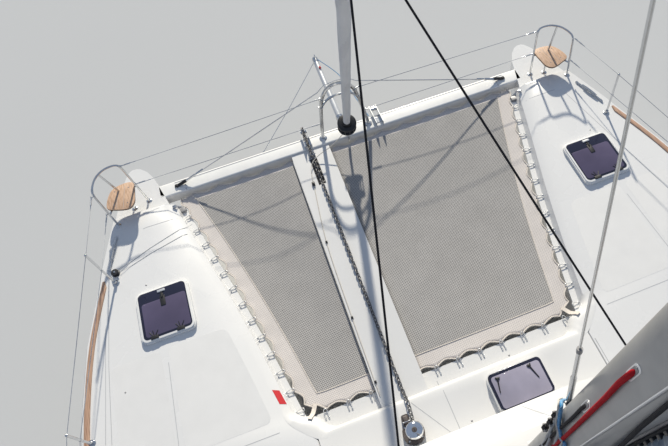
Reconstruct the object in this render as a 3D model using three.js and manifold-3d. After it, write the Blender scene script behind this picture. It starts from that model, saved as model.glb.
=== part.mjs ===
// A cruising sailing catamaran, 13.6 m long, afloat with its sails stowed.
// Millimetres. +X is forward, +Y is port, +Z is up.
// The origin is on the waterline, on the centreline, at the mast.
import * as THREE from "three";
import { mergeVertices } from "three/addons/utils/BufferGeometryUtils.js";
import Module from "manifold-3d";

const wasm = await Module();
wasm.setup();

// Driving dimensions
const GAP = 0.3; // between pieces that touch
const RUN = 0.6; // round a pin or bearing that turns
const DECK_Z = 1600; // side decks
const DECK_CROWN = 25; // the side deck's rise at its middle
const TONGUE_Z = 1500; // the low deck at each bow
const STEP_X = 4400; // where the low bow deck begins
const LEDGE_Z = 1420; // ledge that the nets are laced to
const LEDGE_W = 68;
const TUNNEL_Y = 1460; // inner face of each hull beside the bridge deck
const TUNNEL_Z = 750; // underside of the bridge deck
const FLOOR_Z = 950; // saloon and cockpit floors
const LEDGE_END_X = 1376; // front edge of the bridge deck
const BROW_X = 665; // front edge of the coachroof
const SALOON_AFT_X = -4200; // aft face of the saloon
const WALL = 60; // cabin shell
const COCKPIT_AFT_X = -6900;
const BEAM_X = 4680; // forward crossbeam
const BEAM_Z = 1420;
const HULL_Y = 2790; // middle of each hull
const MAST_X = 18; // middle of the mast at its foot
const MAST_FOOT_Z = 2030;
const MAST_TOP_Z = 17900;
const RAKE = 0.0311; // the mast leans aft this much for each unit of height
const HOUNDS_Z = 16000;
const SPREADER_Z = 9300;
const WALK_Y = 530; // middle of the walkway, which lies to port
const WALK_HALF = 252;
const BOOM_Z = 3900;

// Solids made with three.js geometry, joined and cut as manifolds
function solid(geometry) {
  const bare = geometry.index ? geometry.toNonIndexed() : geometry.clone();
  bare.deleteAttribute("normal");
  bare.deleteAttribute("uv");
  const merged = mergeVertices(bare, 1e-3);
  return new wasm.Manifold(
    new wasm.Mesh({
      numProp: 3,
      vertProperties: merged.attributes.position.array,
      triVerts: new Uint32Array(merged.index.array),
    }),
  );
}

const join = (pieces) => pieces.reduce((all, piece) => all.add(piece));
const mirror = (piece) => piece.mirror([0, 1, 0]);

// The mast's middle at a height
const raked = (z) => MAST_X - (z - MAST_FOOT_Z) * RAKE;

// The largest body of a cut piece, without any slivers
function largest(piece) {
  return piece.decompose().reduce((a, b) => (a.volume() > b.volume() ? a : b));
}

function box(x0, x1, y0, y1, z0, z1) {
  const g = new THREE.BoxGeometry(x1 - x0, y1 - y0, z1 - z0);
  return solid(g.translate((x0 + x1) / 2, (y0 + y1) / 2, (z0 + z1) / 2));
}

// A round bar from a to b, tapering where r2 differs
function bar(a, b, r, r2 = r, sides = 8) {
  const from = new THREE.Vector3(...a);
  const to = new THREE.Vector3(...b);
  const along = to.clone().sub(from);
  const g = new THREE.CylinderGeometry(r2, r, along.length(), sides, 1);
  const turn = new THREE.Quaternion().setFromUnitVectors(new THREE.Vector3(0, 1, 0), along.normalize());
  g.applyQuaternion(turn);
  const mid = from.add(to).multiplyScalar(0.5);
  return solid(g.translate(mid.x, mid.y, mid.z));
}

// The same path with each corner rounded off, starting at most `reach` before it
function rounded(points, reach) {
  const at = points.map((p) => new THREE.Vector3(...p));
  const path = [at[0]];
  for (let i = 1; i + 1 < at.length; i++) {
    const toward = (other) => {
      const step = other.clone().sub(at[i]);
      return at[i].clone().addScaledVector(step.clone().normalize(), Math.min(reach, step.length() * 0.45));
    };
    const a = toward(at[i - 1]);
    const b = toward(at[i + 1]);
    path.push(...new THREE.QuadraticBezierCurve3(a, at[i], b).getPoints(3));
  }
  return [...path, at[at.length - 1]];
}

// A tube along a path through corner points, its corners rounded by `reach`
function tube(points, r, reach = 0, sides = 8) {
  const at = reach ? rounded(points, reach) : points.map((p) => new THREE.Vector3(...p));
  const step = at.slice(1).map((p, i) => p.clone().sub(at[i]).normalize());
  const side = new THREE.Vector3(0.31, 0.23, 0.92);
  const xyz = [];
  at.forEach((p, i) => {
    const along = step[Math.max(0, i - 1)].clone().add(step[Math.min(step.length - 1, i)]).normalize();
    side.addScaledVector(along, -side.dot(along)).normalize();
    const other = along.clone().cross(side);
    for (let j = 0; j < sides; j++) {
      const a = (j * 2 * Math.PI) / sides;
      const q = p.clone().addScaledVector(side, r * Math.cos(a)).addScaledVector(other, r * Math.sin(a));
      xyz.push(q.x, q.y, q.z);
    }
  });
  const faces = [];
  for (let i = 0; i + 1 < at.length; i++) {
    for (let j = 0; j < sides; j++) {
      const a = i * sides + j;
      const b = i * sides + ((j + 1) % sides);
      faces.push(a, b, a + sides, a + sides, b, b + sides);
    }
  }
  const last = (at.length - 1) * sides;
  for (let j = 1; j + 1 < sides; j++) faces.push(0, j + 1, j, last, last + j, last + j + 1);
  const g = new THREE.BufferGeometry();
  g.setAttribute("position", new THREE.BufferAttribute(new Float32Array(xyz), 3));
  g.setIndex(faces);
  return solid(g);
}

// An XY outline raised from z0 to z1
function plate(outline, z0, z1) {
  const shape = new THREE.Shape(outline.map(([x, y]) => new THREE.Vector2(x, y)));
  const g = new THREE.ExtrudeGeometry(shape, { depth: z1 - z0, bevelEnabled: false });
  return solid(g.translate(0, 0, z0));
}

// An XZ outline stretched across the boat from y0 to y1
function profile(outline, y0, y1) {
  const shape = new THREE.Shape(outline.map(([x, z]) => new THREE.Vector2(x, z)));
  const g = new THREE.ExtrudeGeometry(shape, { depth: y1 - y0, bevelEnabled: false });
  return solid(g.rotateX(Math.PI / 2).translate(0, y1, 0));
}

// A rectangle in XY with round corners
function roundRect(cx, cy, lx, ly, r, steps = 4) {
  const points = [];
  for (let corner = 0; corner < 4; corner++) {
    const sx = corner === 0 || corner === 3 ? 1 : -1;
    const sy = corner < 2 ? 1 : -1;
    for (let i = 0; i <= steps; i++) {
      const a = ((corner + i / steps) * Math.PI) / 2;
      const x = cx + sx * (lx / 2 - r) + r * Math.cos(a);
      points.push([x, cy + sy * (ly / 2 - r) + r * Math.sin(a)]);
    }
  }
  return points;
}

// A solid through rings of points, all with the same count. Each ring is flat in the
// plane that remains when the axis it is stacked along is left out
function loft(given, axis = 0) {
  const planar = (ring) => ring.map((p) => new THREE.Vector2(p[(axis + 1) % 3], p[(axis + 2) % 3]));
  const backward = THREE.ShapeUtils.area(planar(given[0])) < 0;
  const rings = given.map((ring) => (backward ? ring.slice().reverse() : ring));
  const n = rings[0].length;
  const faces = [];
  for (let i = 0; i + 1 < rings.length; i++) {
    for (let j = 0; j < n; j++) {
      const a = i * n + j;
      const b = i * n + ((j + 1) % n);
      faces.push(a, a + n, b, b, a + n, b + n);
    }
  }
  for (const [a, b, c] of THREE.ShapeUtils.triangulateShape(planar(rings[0]), [])) faces.push(a, b, c);
  const last = (rings.length - 1) * n;
  for (const [a, b, c] of THREE.ShapeUtils.triangulateShape(planar(rings[rings.length - 1]), [])) {
    faces.push(last + a, last + c, last + b);
  }
  const rising = rings[rings.length - 1][0][axis] > rings[0][0][axis];
  const g = new THREE.BufferGeometry();
  g.setAttribute("position", new THREE.BufferAttribute(new Float32Array(rings.flat(2)), 3));
  g.setIndex(rising ? faces.reverse() : faces);
  return solid(g);
}

// Port hull stations: x, outer deck edge, inner deck edge, half breadth and draft at the waterline
const HULL_ROWS = [
  [-8430, 3520, 2050, 380, 30],
  [-7900, 3570, 1900, 440, 120],
  [-7200, 3640, 1700, 520, 250],
  [-6900, 3660, TUNNEL_Y, 545, 290],
  [-5200, 3750, TUNNEL_Y, 620, 470],
  [-3400, 3800, TUNNEL_Y, 655, 590],
  [-1500, 3820, TUNNEL_Y, 660, 640],
  [0, 3800, TUNNEL_Y, 640, 630],
  [1100, 3765, TUNNEL_Y, 590, 600],
  [1386, 3752, 1525, 576, 588],
  [1500, 3745, 1552, 570, 585],
  [2200, 3680, 1690, 505, 545],
  [2900, 3560, 1850, 420, 500],
  [3600, 3350, 2036, 300, 435],
  [3820, 3290, 2093, 255, 405],
  [4100, 3200, 2165, 195, 370],
  [4390, 3100, 2240, 140, 320],
  [4450, 3080, 2400, 125, 305],
  [4760, 2985, 2480, 65, 210],
  [4930, 2925, 2525, 30, 120],
  [5060, 2868, 2590, 14, 60],
  [5140, 2815, 2665, 8, 30],
  [5165, 2775, 2715, 6, 20],
];

const centreY = (x) => (x > 3600 ? HULL_Y - ((x - 3600) / 1565) * 40 : HULL_Y);

// One hull section, from the outer deck edge down round the keel to the inner deck edge
function hullRing([x, yo, yi, w, d]) {
  const c = centreY(x);
  const bulge = x > STEP_X ? 15 : 50;
  const outer = yo - c - w;
  const inner = c - w - yi;
  const ledge = x > LEDGE_END_X && x < STEP_X;
  const rise = Math.max(0, Math.min(1, (x - LEDGE_END_X) / (STEP_X - LEDGE_END_X)));
  const tunnel = TUNNEL_Z + 480 * rise;
  const shelf = ledge
    ? [[yi, LEDGE_Z], [yi + LEDGE_W, LEDGE_Z], [yi + 96, 1540], [yi + 190, DECK_Z - 4]]
    : [[yi, DECK_Z - 90], [yi + 2, DECK_Z - 50], [yi + 6, DECK_Z - 16], [yi + 16, DECK_Z - 2]];
  return [
    [yo - 30, DECK_Z],
    [yo, DECK_Z - 45],
    [yo + bulge, 1270],
    [c + w + outer * 0.62, 640],
    [c + w + outer * 0.16, 200],
    [c + w, 0],
    [c + w * 0.82, -d * 0.55],
    [c + w * 0.42, -d * 0.9],
    [c, -d],
    [c - w * 0.42, -d * 0.9],
    [c - w * 0.82, -d * 0.55],
    [c - w, 0],
    [c - w - inner * 0.12, 300],
    [c - w - inner * 0.42, 560 + 160 * rise],
    [yi + 1, tunnel],
    ...shelf,
    [(yo + yi) / 2, DECK_Z + (x > STEP_X ? 5 : DECK_CROWN)],
  ].map(([y, z]) => [x, y, z]);
}

const RUDDER_X = -6500;
const STOCK_R = 45;

// A hatch that opens, over a recess in the deck: middle, size, corner radius and the top of its frame
const HATCH = { x: 2975, y: 2645, lx: 624, ly: 594, r: 72, top: 1652 };

function hatchWell(h, bottom, r) {
  return plate(roundRect(h.x, h.y, h.lx - 90, h.ly - 90, r), bottom, 1750);
}

function hullPort() {
  let hull = loft(HULL_ROWS.map(hullRing));
  hull = hull.subtract(box(STEP_X, 5300, 2000, 3300, TONGUE_Z, 1700));
  const steps = [[-7250, 1230], [-7600, 900], [-7950, 560]];
  for (const [x, z] of steps) hull = hull.subtract(box(-8600, x, 1400, 3900, z, 1800));
  const well = hatchWell(HATCH, 1400, 50);
  const stockHole = bar([RUDDER_X, HULL_Y, -600], [RUDDER_X, HULL_Y, -250], STOCK_R + RUN, STOCK_R + RUN, 24);
  return largest(hull.subtract(well).subtract(stockHole));
}

const hull = hullPort();
const nodes = []; // name, manifold, material name

const add = (name, piece, finish) => nodes.push([name, piece, finish]);
const pair = (name, piece, finish) => {
  add(name + "_port", piece, finish);
  add(name + "_starboard", mirror(piece), finish);
};

pair("hull", hull, "gelcoat");

// Fixed keels, saildrives, propellers and rudders
function keel() {
  const ring = (z, x0, x1, t) => {
    const mid = x0 + (x1 - x0) * 0.65;
    return [[x0, 0], [mid, -t], [x1 - 60, -t * 0.5], [x1, 0], [x1 - 60, t * 0.5], [mid, t]].map(
      ([x, y]) => [x, HULL_Y + y, z],
    );
  };
  const rings = [ring(-1250, -2100, 500, 70), ring(-1150, -2150, 620, 95), ring(-560, -2350, 950, 130)];
  return largest(loft(rings, 2).subtract(hull.translate([0, 0, -GAP])));
}

const SHAFT = { x: -5300, z: -700 };

function saildrive() {
  const leg = box(SHAFT.x - 90, SHAFT.x + 110, HULL_Y - 25, HULL_Y + 25, SHAFT.z, -430);
  const pod = bar([SHAFT.x - 150, HULL_Y, SHAFT.z], [SHAFT.x + 170, HULL_Y, SHAFT.z], 62, 40, 12);
  return largest(join([leg, pod]).subtract(hull.translate([0, 0, -GAP])));
}

function propeller() {
  const hub = bar([SHAFT.x - 150 - RUN, HULL_Y, SHAFT.z], [SHAFT.x - 260, HULL_Y, SHAFT.z], 45, 28, 12);
  const blades = [];
  for (let i = 0; i < 3; i++) {
    const blade = plate([[-14, 0], [14, 0], [60, 120], [40, 215], [-45, 205], [-62, 110]], -5, 5);
    const pitched = blade.rotate([90, 0, 90]).rotate([0, 0, 35]).rotate([i * 120, 0, 0]);
    blades.push(pitched.translate([SHAFT.x - 205, HULL_Y, SHAFT.z]));
  }
  return largest(join([hub, ...blades]));
}

function rudder() {
  const blade = plate(
    [[RUDDER_X + 160, -12], [RUDDER_X + 60, -38], [RUDDER_X - 120, -30], [RUDDER_X - 400, 0],
      [RUDDER_X - 120, 30], [RUDDER_X + 60, 38], [RUDDER_X + 160, 12]],
    -1080,
    -395,
  ).translate([0, HULL_Y, 0]);
  const stock = bar([RUDDER_X, HULL_Y, -420], [RUDDER_X, HULL_Y, -254], STOCK_R, STOCK_R, 24);
  return join([blade, stock]);
}

pair("keel", keel(), "gelcoat");
pair("saildrive", saildrive(), "grey_metal");
pair("propeller", propeller(), "bronze");
pair("rudder", rudder(), "gelcoat");

// Bridge deck between the hulls, with the saloon and cockpit sunk into it
const WINDLASS = { x: 824, y: 570 };
const DOOR = { y0: -500, y1: 400, z1: 2750 };
const DECK_HATCH = { x: 869, y: -570, lx: 390, ly: 596, r: 57, top: 1680 };
const SEAT_Z = 1380;
const WELL_HALF = 1400;

function bridgeDeck() {
  const outline = [
    [LEDGE_END_X, TUNNEL_Z + 140], [LEDGE_END_X, LEDGE_Z], [1195, LEDGE_Z], [1175, 1545],
    [1140, DECK_Z - 8], [1110, DECK_Z], [COCKPIT_AFT_X - 300, DECK_Z], [COCKPIT_AFT_X - 300, 1000],
    [COCKPIT_AFT_X, TUNNEL_Z], [1000, TUNNEL_Z],
  ];
  const y = TUNNEL_Y - GAP;
  const saloon = box(SALOON_AFT_X + WALL, -1000, -WELL_HALF, WELL_HALF, FLOOR_Z, 1700);
  const cockpit = box(COCKPIT_AFT_X, SALOON_AFT_X, -WELL_HALF, WELL_HALF, FLOOR_Z, 1700);
  const doorway = box(SALOON_AFT_X - 100, SALOON_AFT_X + 100, DOOR.y0, DOOR.y1, FLOOR_Z, 1700);
  const seatAft = box(COCKPIT_AFT_X - 1, COCKPIT_AFT_X + 500, -900, WELL_HALF + 1, FLOOR_Z - 1, SEAT_Z);
  const seatPort = box(COCKPIT_AFT_X + 100, -4700, 880, WELL_HALF + 1, FLOOR_Z - 1, SEAT_Z);
  const sofa = box(-3900, -1001, 800, WELL_HALF + 1, FLOOR_Z - 1, SEAT_Z);
  const well = hatchWell(DECK_HATCH, 1450, 30);
  const sunk = profile(outline, -y, y).subtract(join([saloon, cockpit, doorway]));
  return largest(sunk.add(join([seatAft, seatPort, sofa])).subtract(well));
}

const deck = bridgeDeck();
add("bridge_deck", deck, "gelcoat");

// Coachroof: x, base half width, shoulder height, roof half width, roof height and its rise at the middle
const ROOF_ROWS = [
  [SALOON_AFT_X, 1980, 2520, 1780, 2880, 40],
  [-3000, 2010, 2540, 1810, 2930, 45],
  [-1700, 2000, 2520, 1800, 2920, 45],
  [-1150, 1960, 2440, 1700, 2830, 45],
  [-550, 1880, 2020, 1560, 2090, 40],
  [0, 1760, 1960, 1500, 2010, 35],
  [400, 1610, 1850, 1460, 1915, 25],
  [BROW_X, 1500, 1780, 1440, 1825, 10],
];
// The roof's front edge in plan, from the middle outwards
const BROW_EDGE = [
  [BROW_X, 0], [BROW_X, 880], [648, 1180], [600, 1370],
  [500, 1500], [300, 1680], [-200, 2300], [-4500, 2300],
];

function roofSolid(inset) {
  const whole = loft(
    ROOF_ROWS.map(([x, base, shoulder, half, top, crown]) => {
      const end = x === BROW_X ? -inset : x === SALOON_AFT_X ? inset : 0;
      const b = base - inset;
      const h = half - inset;
      const t = top - inset;
      const side = [
        [b, DECK_Z - 40 - inset], [b - 10, DECK_Z + 60], [h + 60, shoulder - inset * 0.6],
        [h, t - 40], [h - 130, t - 5],
      ];
      const other = side.map(([y, z]) => [-y, z]).reverse();
      return [...side, [0, t + crown], ...other].map(([y, z]) => [x + end, y, z]);
    }),
  );
  const edge = BROW_EDGE.map(([x, y]) => [x - inset, y]);
  const plan = [...edge, ...edge.slice(1).reverse().map(([x, y]) => [x, -y])];
  return whole.intersect(plate(plan, 0, 4000));
}

// Window openings: the side ones are cut across the boat, the front ones along it
const SIDE_WINDOW = [[-3900, 2060], [-1250, 2040], [-1500, 2460], [-3900, 2500]];
const shrunk = (outline, by) => {
  const cx = outline.reduce((s, p) => s + p[0], 0) / outline.length;
  const cz = outline.reduce((s, p) => s + p[1], 0) / outline.length;
  return outline.map(([x, z]) => [x - Math.sign(x - cx) * by, z - Math.sign(z - cz) * by]);
};

function sideCutter(by) {
  return profile(shrunk(SIDE_WINDOW, by), 1500, 2200);
}

function frontCutter(by, y0, y1) {
  return box(-1250, -500, y0 + by, y1 - by, 2200 + by, 2700 - by);
}

const FRONT_WINDOWS = [[60, 1380], [-1380, -60]];

function coachroof() {
  const dash = box(-1000, 900, -2200, 2200, 0, 1961).add(box(-560, 900, -2200, 2200, 0, 3000));
  const inner = roofSolid(WALL).subtract(dash);
  let shell = roofSolid(0).subtract(inner);
  shell = shell.subtract(box(-950, BROW_X + 100, -2200, 2200, 0, DECK_Z + GAP));
  shell = shell.subtract(join([sideCutter(0), mirror(sideCutter(0))]));
  for (const [y0, y1] of FRONT_WINDOWS) shell = shell.subtract(frontCutter(0, y0, y1));
  shell = shell.subtract(box(SALOON_AFT_X - 100, SALOON_AFT_X + 100, DOOR.y0, DOOR.y1, 1000, DOOR.z1));
  const around = join([hull, mirror(hull)]).translate([0, 0, GAP]);
  return largest(shell.subtract(around).subtract(deck.translate([0, 0, GAP])));
}

const roof = coachroof();
add("coachroof", roof, "gelcoat");
const glassSkin = roofSolid(12).subtract(roofSolid(30));
pair("side_window", largest(glassSkin.intersect(sideCutter(GAP))), "dark_glass");
pair("front_window", largest(glassSkin.intersect(frontCutter(GAP, 60, 1380))), "dark_glass");

function saloonDoor() {
  const x = SALOON_AFT_X - 5;
  const z0 = FLOOR_Z + RUN;
  const slab = box(x - 24, x, DOOR.y0 - 40, DOOR.y1 + 40, z0, DOOR.z1 + 30);
  const pane = box(x - 40, x + 20, DOOR.y0 + 40, DOOR.y1 - 40, z0 + 80, DOOR.z1 - 50);
  return slab.subtract(pane).add(box(x - 15, x - 9, DOOR.y0 + 30, DOOR.y1 - 30, z0 + 70, DOOR.z1 - 40));
}

add("saloon_door", saloonDoor(), "dark_glass");

// Hard top over the cockpit, on posts from the side decks and the coachroof
const HARD_TOP = { x0: -6850, x1: -3950, half: 1750, z0: 3150, z1: 3210 };

function hardTop() {
  const { x0, x1, half, z0, z1 } = HARD_TOP;
  const pieces = [plate(roundRect((x0 + x1) / 2, 0, x1 - x0, half * 2, 250), z0, z1)];
  for (const s of [-1, 1]) {
    pieces.push(bar([-6650, s * 1660, DECK_Z - 20], [-6600, s * 1600, z0 + 20], 22));
    pieces.push(bar([-4080, s * 1500, 2860], [-4080, s * 1500, z0 + 20], 22));
  }
  const around = join([hull, mirror(hull)]).translate([0, 0, GAP]);
  return largest(join(pieces).subtract(around).subtract(roof.translate([0, 0, GAP])));
}

add("hard_top", hardTop(), "gelcoat");

const HELM = { x: -4620, y: -1050, z: 1800 };

function helmConsole() {
  const outline = [
    [SALOON_AFT_X - GAP, FLOOR_Z + GAP], [SALOON_AFT_X - GAP, 2050],
    [-4400, 2050], [-4500, 1850], [-4480, FLOOR_Z + GAP],
  ];
  return profile(outline, HELM.y - 240, HELM.y + 260);
}

function helmWheel() {
  const { x, y, z } = HELM;
  const pieces = [solid(new THREE.TorusGeometry(330, 14, 8, 24).rotateY(Math.PI / 2).translate(x, y, z))];
  for (let i = 0; i < 3; i++) {
    const dy = Math.cos((i * Math.PI) / 3) * 330;
    const dz = Math.sin((i * Math.PI) / 3) * 330;
    pieces.push(bar([x, y - dy, z - dz], [x, y + dy, z + dz], 7, 7, 6));
  }
  pieces.push(bar([x - 25, y, z], [-4500, y, z], 28));
  return join(pieces);
}

add("helm_console", helmConsole(), "gelcoat");
add("helm_wheel", helmWheel(), "stainless");

function cockpitTable() {
  const top = plate(roundRect(-5500, 380, 1000, 700, 80), FLOOR_Z + 700, FLOOR_Z + 735);
  const leg = bar([-5500, 380, FLOOR_Z + GAP], [-5500, 380, FLOOR_Z + 710], 60, 60, 12);
  return join([top, leg]);
}

add("cockpit_table", cockpitTable(), "teak");

// Rub rails along the topsides
function rubRail() {
  const rings = HULL_ROWS.filter((row) => row[0] > -7300 && row[0] < 3900).map(([x, yo]) => {
    const y = yo + 20;
    return [[x, y, 1225], [x, y + 75, 1240], [x, y + 75, 1300], [x, y, 1320]];
  });
  return largest(loft(rings).subtract(hull.translate([0, GAP, 0])));
}

pair("rub_rail", rubRail(), "timber");

// Forward crossbeam, its striker arch and wires, and the sprit
function crossbeam() {
  const section = [];
  const square = (v) => Math.sign(v) * Math.abs(v) ** 0.4;
  for (let i = 0; i < 24; i++) {
    const a = ((i + 0.5) * Math.PI) / 12;
    section.push([BEAM_X + 104 * square(Math.cos(a)), BEAM_Z + 80 * square(Math.sin(a))]);
  }
  const hulls = join([hull.translate([0, -GAP, 0]), mirror(hull).translate([0, GAP, 0])]);
  return largest(profile(section, -2560, 2560).subtract(hulls));
}

const beam = crossbeam();
add("crossbeam", beam, "white_paint");

const ARCH_TOP_Z = 2325;
const ARCH = [
  [BEAM_X, 314, 1480], [BEAM_X + 5, 310, 1560], [4740, 255, 1950],
  [4758, 222, 2130], [4768, 130, 2280], [4770, 0, ARCH_TOP_Z],
];
const ARCH_R = 24;

// A path to the centreline, carried on to the other side
const across = (half) => [...half, ...half.slice(0, -1).reverse().map(([x, y, z]) => [x, -y, z])];

function strikerArch() {
  const hoop = tube(across(ARCH), ARCH_R, 90);
  const step = tube(across([[4742, 240, 2010], [4748, 150, 2120], [4750, 0, 2150]]), 16, 60);
  return largest(join([hoop, step]).subtract(beam.translate([0, 0, GAP])));
}

add("striker_arch", strikerArch(), "stainless");

function strikerWires() {
  const r = 7;
  const top = ARCH_TOP_Z + ARCH_R + r + 3;
  const path = [[BEAM_X + 4, 2216, 1510], [4762, 250, 2260], [4770, 150, top - 20], [4770, 0, top]];
  const pieces = [tube(across(path), r, 0, 6)];
  for (const s of [-1, 1]) pieces.push(bar([4702, s * 1996, 1594], [BEAM_X + 4, s * 2216, 1510], 15));
  const under = join([beam, strikerArch().translate([0, 0, 1])]);
  return largest(join(pieces).subtract(under.translate([0, 0, GAP])));
}

add("striker_wires", strikerWires(), "stainless");

function sprit() {
  const pole = bar([BEAM_X + 60, 0, 1455], [6100, 0, 1510], 44, 38, 14);
  return largest(pole.subtract(beam.translate([GAP, 0, 0])));
}

add("sprit", sprit(), "aluminium");

// Walkway from the crossbeam to the bridge deck, with the chain's trough
function walkway() {
  const outline = [[1175, 1421], [1175, 1500], [4612, 1480], [4612, 1340], [LEDGE_END_X + 10, 1340],
    [LEDGE_END_X + 10, 1421]];
  const plank = profile(outline, WALK_Y - WALK_HALF, WALK_Y + WALK_HALF);
  const trough = box(4010, 4435, WALK_Y - 45, WALK_Y + 45, 1440, 1600);
  const near = [[-GAP, 0, 0], [0, 0, GAP], [0, 0, -GAP]].map((by) => beam.translate(by));
  const cut = join([trough, ...near, deck, deck.translate([GAP, 0, GAP])]);
  return largest(plank.subtract(cut));
}

const walk = walkway();
add("walkway", walk, "gelcoat");

// Nets laced between the hulls, the crossbeam and the bridge deck
const NET = { aft: 1405, front: 4520, z: 1432, t: 8 };
const netOuter = (x) => 1765 + 0.235 * (x - 2700) + 0.000024 * (x - 2700) ** 2;

function net(inner) {
  return plate(
    [
      [NET.aft, inner], [NET.front, inner], [NET.front, 2065], [4400, netOuter(4400)], [3600, netOuter(3600)],
      [2500, netOuter(2500)],
      [1470, netOuter(1470)], [NET.aft, netOuter(NET.aft) - 60],
    ],
    NET.z - NET.t,
    NET.z,
  );
}

add("net_port", net(WALK_Y + WALK_HALF + RUN), "net");
add("net_starboard", mirror(net(WALK_HALF - WALK_Y + RUN)), "net");

// Bow rollers on the crossbeam, the chain and the windlass
function bowRoller(y) {
  const cheek = [[4580, 1490], [4700, 1500], [4785, 1450], [4890, 1480], [4905, 1560], [4580, 1580]];
  const cheeks = [profile(cheek, y - 48, y - 42), profile(cheek, y + 42, y + 48)];
  const wheel = bar([4860, y - 43, 1528], [4860, y + 43, 1528], 26, 26, 12);
  const base = box(4640, 4720, y - 44, y + 44, 1490, 1506);
  return largest(join([...cheeks, wheel, base]).subtract(beam.translate([0, 0, GAP])));
}

add("bow_roller_port", bowRoller(WALK_Y), "stainless");
add("bow_roller_starboard", bowRoller(-450), "stainless");

const CHAIN_R = 20;

function chain() {
  const path = [
    [4908, 1345], [4908, 1530], [4894, 1563], [4860, 1578], [4690, 1545], [4600, 1522], [4465, 1508],
    [4395, 1468], [4050, 1468], [3985, 1512], [1250, 1524], [1120, 1680],
  ].map(([x, z]) => [x, WALK_Y, z]);
  const links = tube([...path, [WINDLASS.x + 90, WINDLASS.y - 20, 1690]], CHAIN_R, 0, 8);
  return largest(links.subtract(walk.translate([0, 0, GAP])));
}

add("anchor_chain", chain(), "galvanised");

function windlassBase() {
  const round = plate(roundRect(WINDLASS.x, 580, 216, 216, 100), DECK_Z + GAP, 1660);
  const nose = plate(roundRect(925, 608, 170, 76, 20), DECK_Z + GAP, 1660);
  return join([round, nose]).subtract(bar([WINDLASS.x, WINDLASS.y, 1637], [WINDLASS.x, WINDLASS.y, 1700], 76, 76, 20));
}

function gypsy() {
  const points = [
    [0, 1637 + RUN], [25, 1637 + RUN], [25, 1642], [70, 1642], [70, 1672], [52, 1686], [70, 1700],
    [70, 1712], [86, 1728], [86, 1744], [70, 1764], [34, 1777], [0, 1780],
  ];
  const g = new THREE.LatheGeometry(points.map(([r, z]) => new THREE.Vector2(r, z)), 20);
  return solid(g.rotateX(Math.PI / 2).translate(WINDLASS.x, WINDLASS.y, 0));
}

add("windlass_base", windlassBase(), "grey_metal");
add("windlass_drum", gypsy(), "stainless");

// Bow pulpits with a seat, and the double lifeline from each pulpit to the striker arch
const RAIL_R = 13;
const RAIL_Z = 2165;

function pulpitTubes(r) {
  const rail = tube(
    [
      [4606, 2633, 1470], [4735, 2715, RAIL_Z - 20], [4750, 2780, RAIL_Z], [4735, 2900, RAIL_Z],
      [4655, 3000, RAIL_Z], [4540, 3045, RAIL_Z], [4445, 3064, RAIL_Z - 20], [4315, 3010, 1560],
    ],
    r,
    90,
  );
  const centre = tube([[4690, 2965, RAIL_Z], [4650, 2870, 1775], [4560, 2820, 1480]], r, 40);
  const mid = tube([[4668, 2672, 1775], [4650, 2870, 1775], [4372, 3034, 1775]], r);
  return join([rail, centre, mid]);
}

function pulpit() {
  const upper = bar([4732, 2711, 2130], [4733, 218, 2175], 4, 4, 6);
  const lower = bar([4676, 2676, 1805], [4690, 300, 1780], 4, 4, 6);
  return largest(join([pulpitTubes(RAIL_R), upper, lower]).subtract(hull.translate([0, 0, GAP])));
}

pair("pulpit", pulpit(), "stainless");

const SEAT_OUTLINE = [
  [4735, 2720], [4740, 2930], [4600, 3030], [4430, 3040],
  [4350, 2960], [4345, 2830], [4420, 2740], [4560, 2705],
];

function pulpitSeat() {
  const seat = plate(SEAT_OUTLINE, 1789, 1811);
  return largest(seat.subtract(pulpitTubes(RAIL_R + 1)).subtract(pulpit()));
}

pair("pulpit_seat", pulpitSeat(), "teak");

// Guardrails: stanchions with two wires, one set each side. x and y at the foot, then at the top
const STANCHIONS = [
  [3546, 3135, 3622, 3187],
  [1872, 3586, 1812, 3532],
  [480, 3680, 460, 3650],
  [-900, 3700, -910, 3700],
  [-2280, 3695, -2285, 3700],
  [-3660, 3675, -3660, 3685],
  [-5040, 3640, -5040, 3655],
];
const RAIL_SPLIT_X = 1900; // where the foremost span of wires begins
const RAIL_ENDS = { front: [4430, 3084], aft: [-6425, 3640] };

function guardrail() {
  const pieces = [];
  for (const [x0, y0, x, y] of STANCHIONS) {
    pieces.push(bar([x0, y0, 1570], [x, y, 2215], 12.5));
    pieces.push(bar([x0, y0, 1570], [x0, y0, 1660], 20));
  }
  const { front, aft } = RAIL_ENDS;
  const top = STANCHIONS.map(([, , x, y]) => [x, y, 2205]);
  const low = STANCHIONS.map(([x0, y0, x, y]) => [(x0 + x) / 2, (y0 + y) / 2, 1900]);
  pieces.push(tube([[...front, 2120], ...top, [...aft, 2160]], 4, 0, 6));
  pieces.push(tube([[front[0] - 50, front[1] - 25, 1800], ...low, [...aft, 1890]], 4, 0, 6));
  return largest(join(pieces).subtract(hull.translate([0, 0, GAP])));
}

const rail = guardrail();
const bowSpan = box(RAIL_SPLIT_X, 5000, 2900, 4000, 1500, 2300);
pair("guardrail_bow", largest(rail.intersect(bowSpan)), "stainless");
pair("guardrail", largest(rail.subtract(bowSpan.translate([-GAP, 0, 0]))), "stainless");

function pushpit() {
  const rail = tube(
    [
      [-6460, 3610, 1560], [-6445, 3625, 2200], [-6600, 3600, 2210],
      [-7150, 3520, 2210], [-7170, 3350, 2200], [-7170, 3350, 1560],
    ],
    RAIL_R,
    70,
  );
  const mid = tube([[-6452, 3617, 1890], [-7120, 3500, 1890], [-7170, 3350, 1890]], RAIL_R, 40);
  return largest(join([rail, mid]).subtract(hull.translate([0, 0, GAP])));
}

pair("pushpit", pushpit(), "stainless");

// Opening hatches, a frame and a lid each
const LID_MARGIN = 12; // the frame shows this much round its lid
const LID_T = 16;

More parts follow.
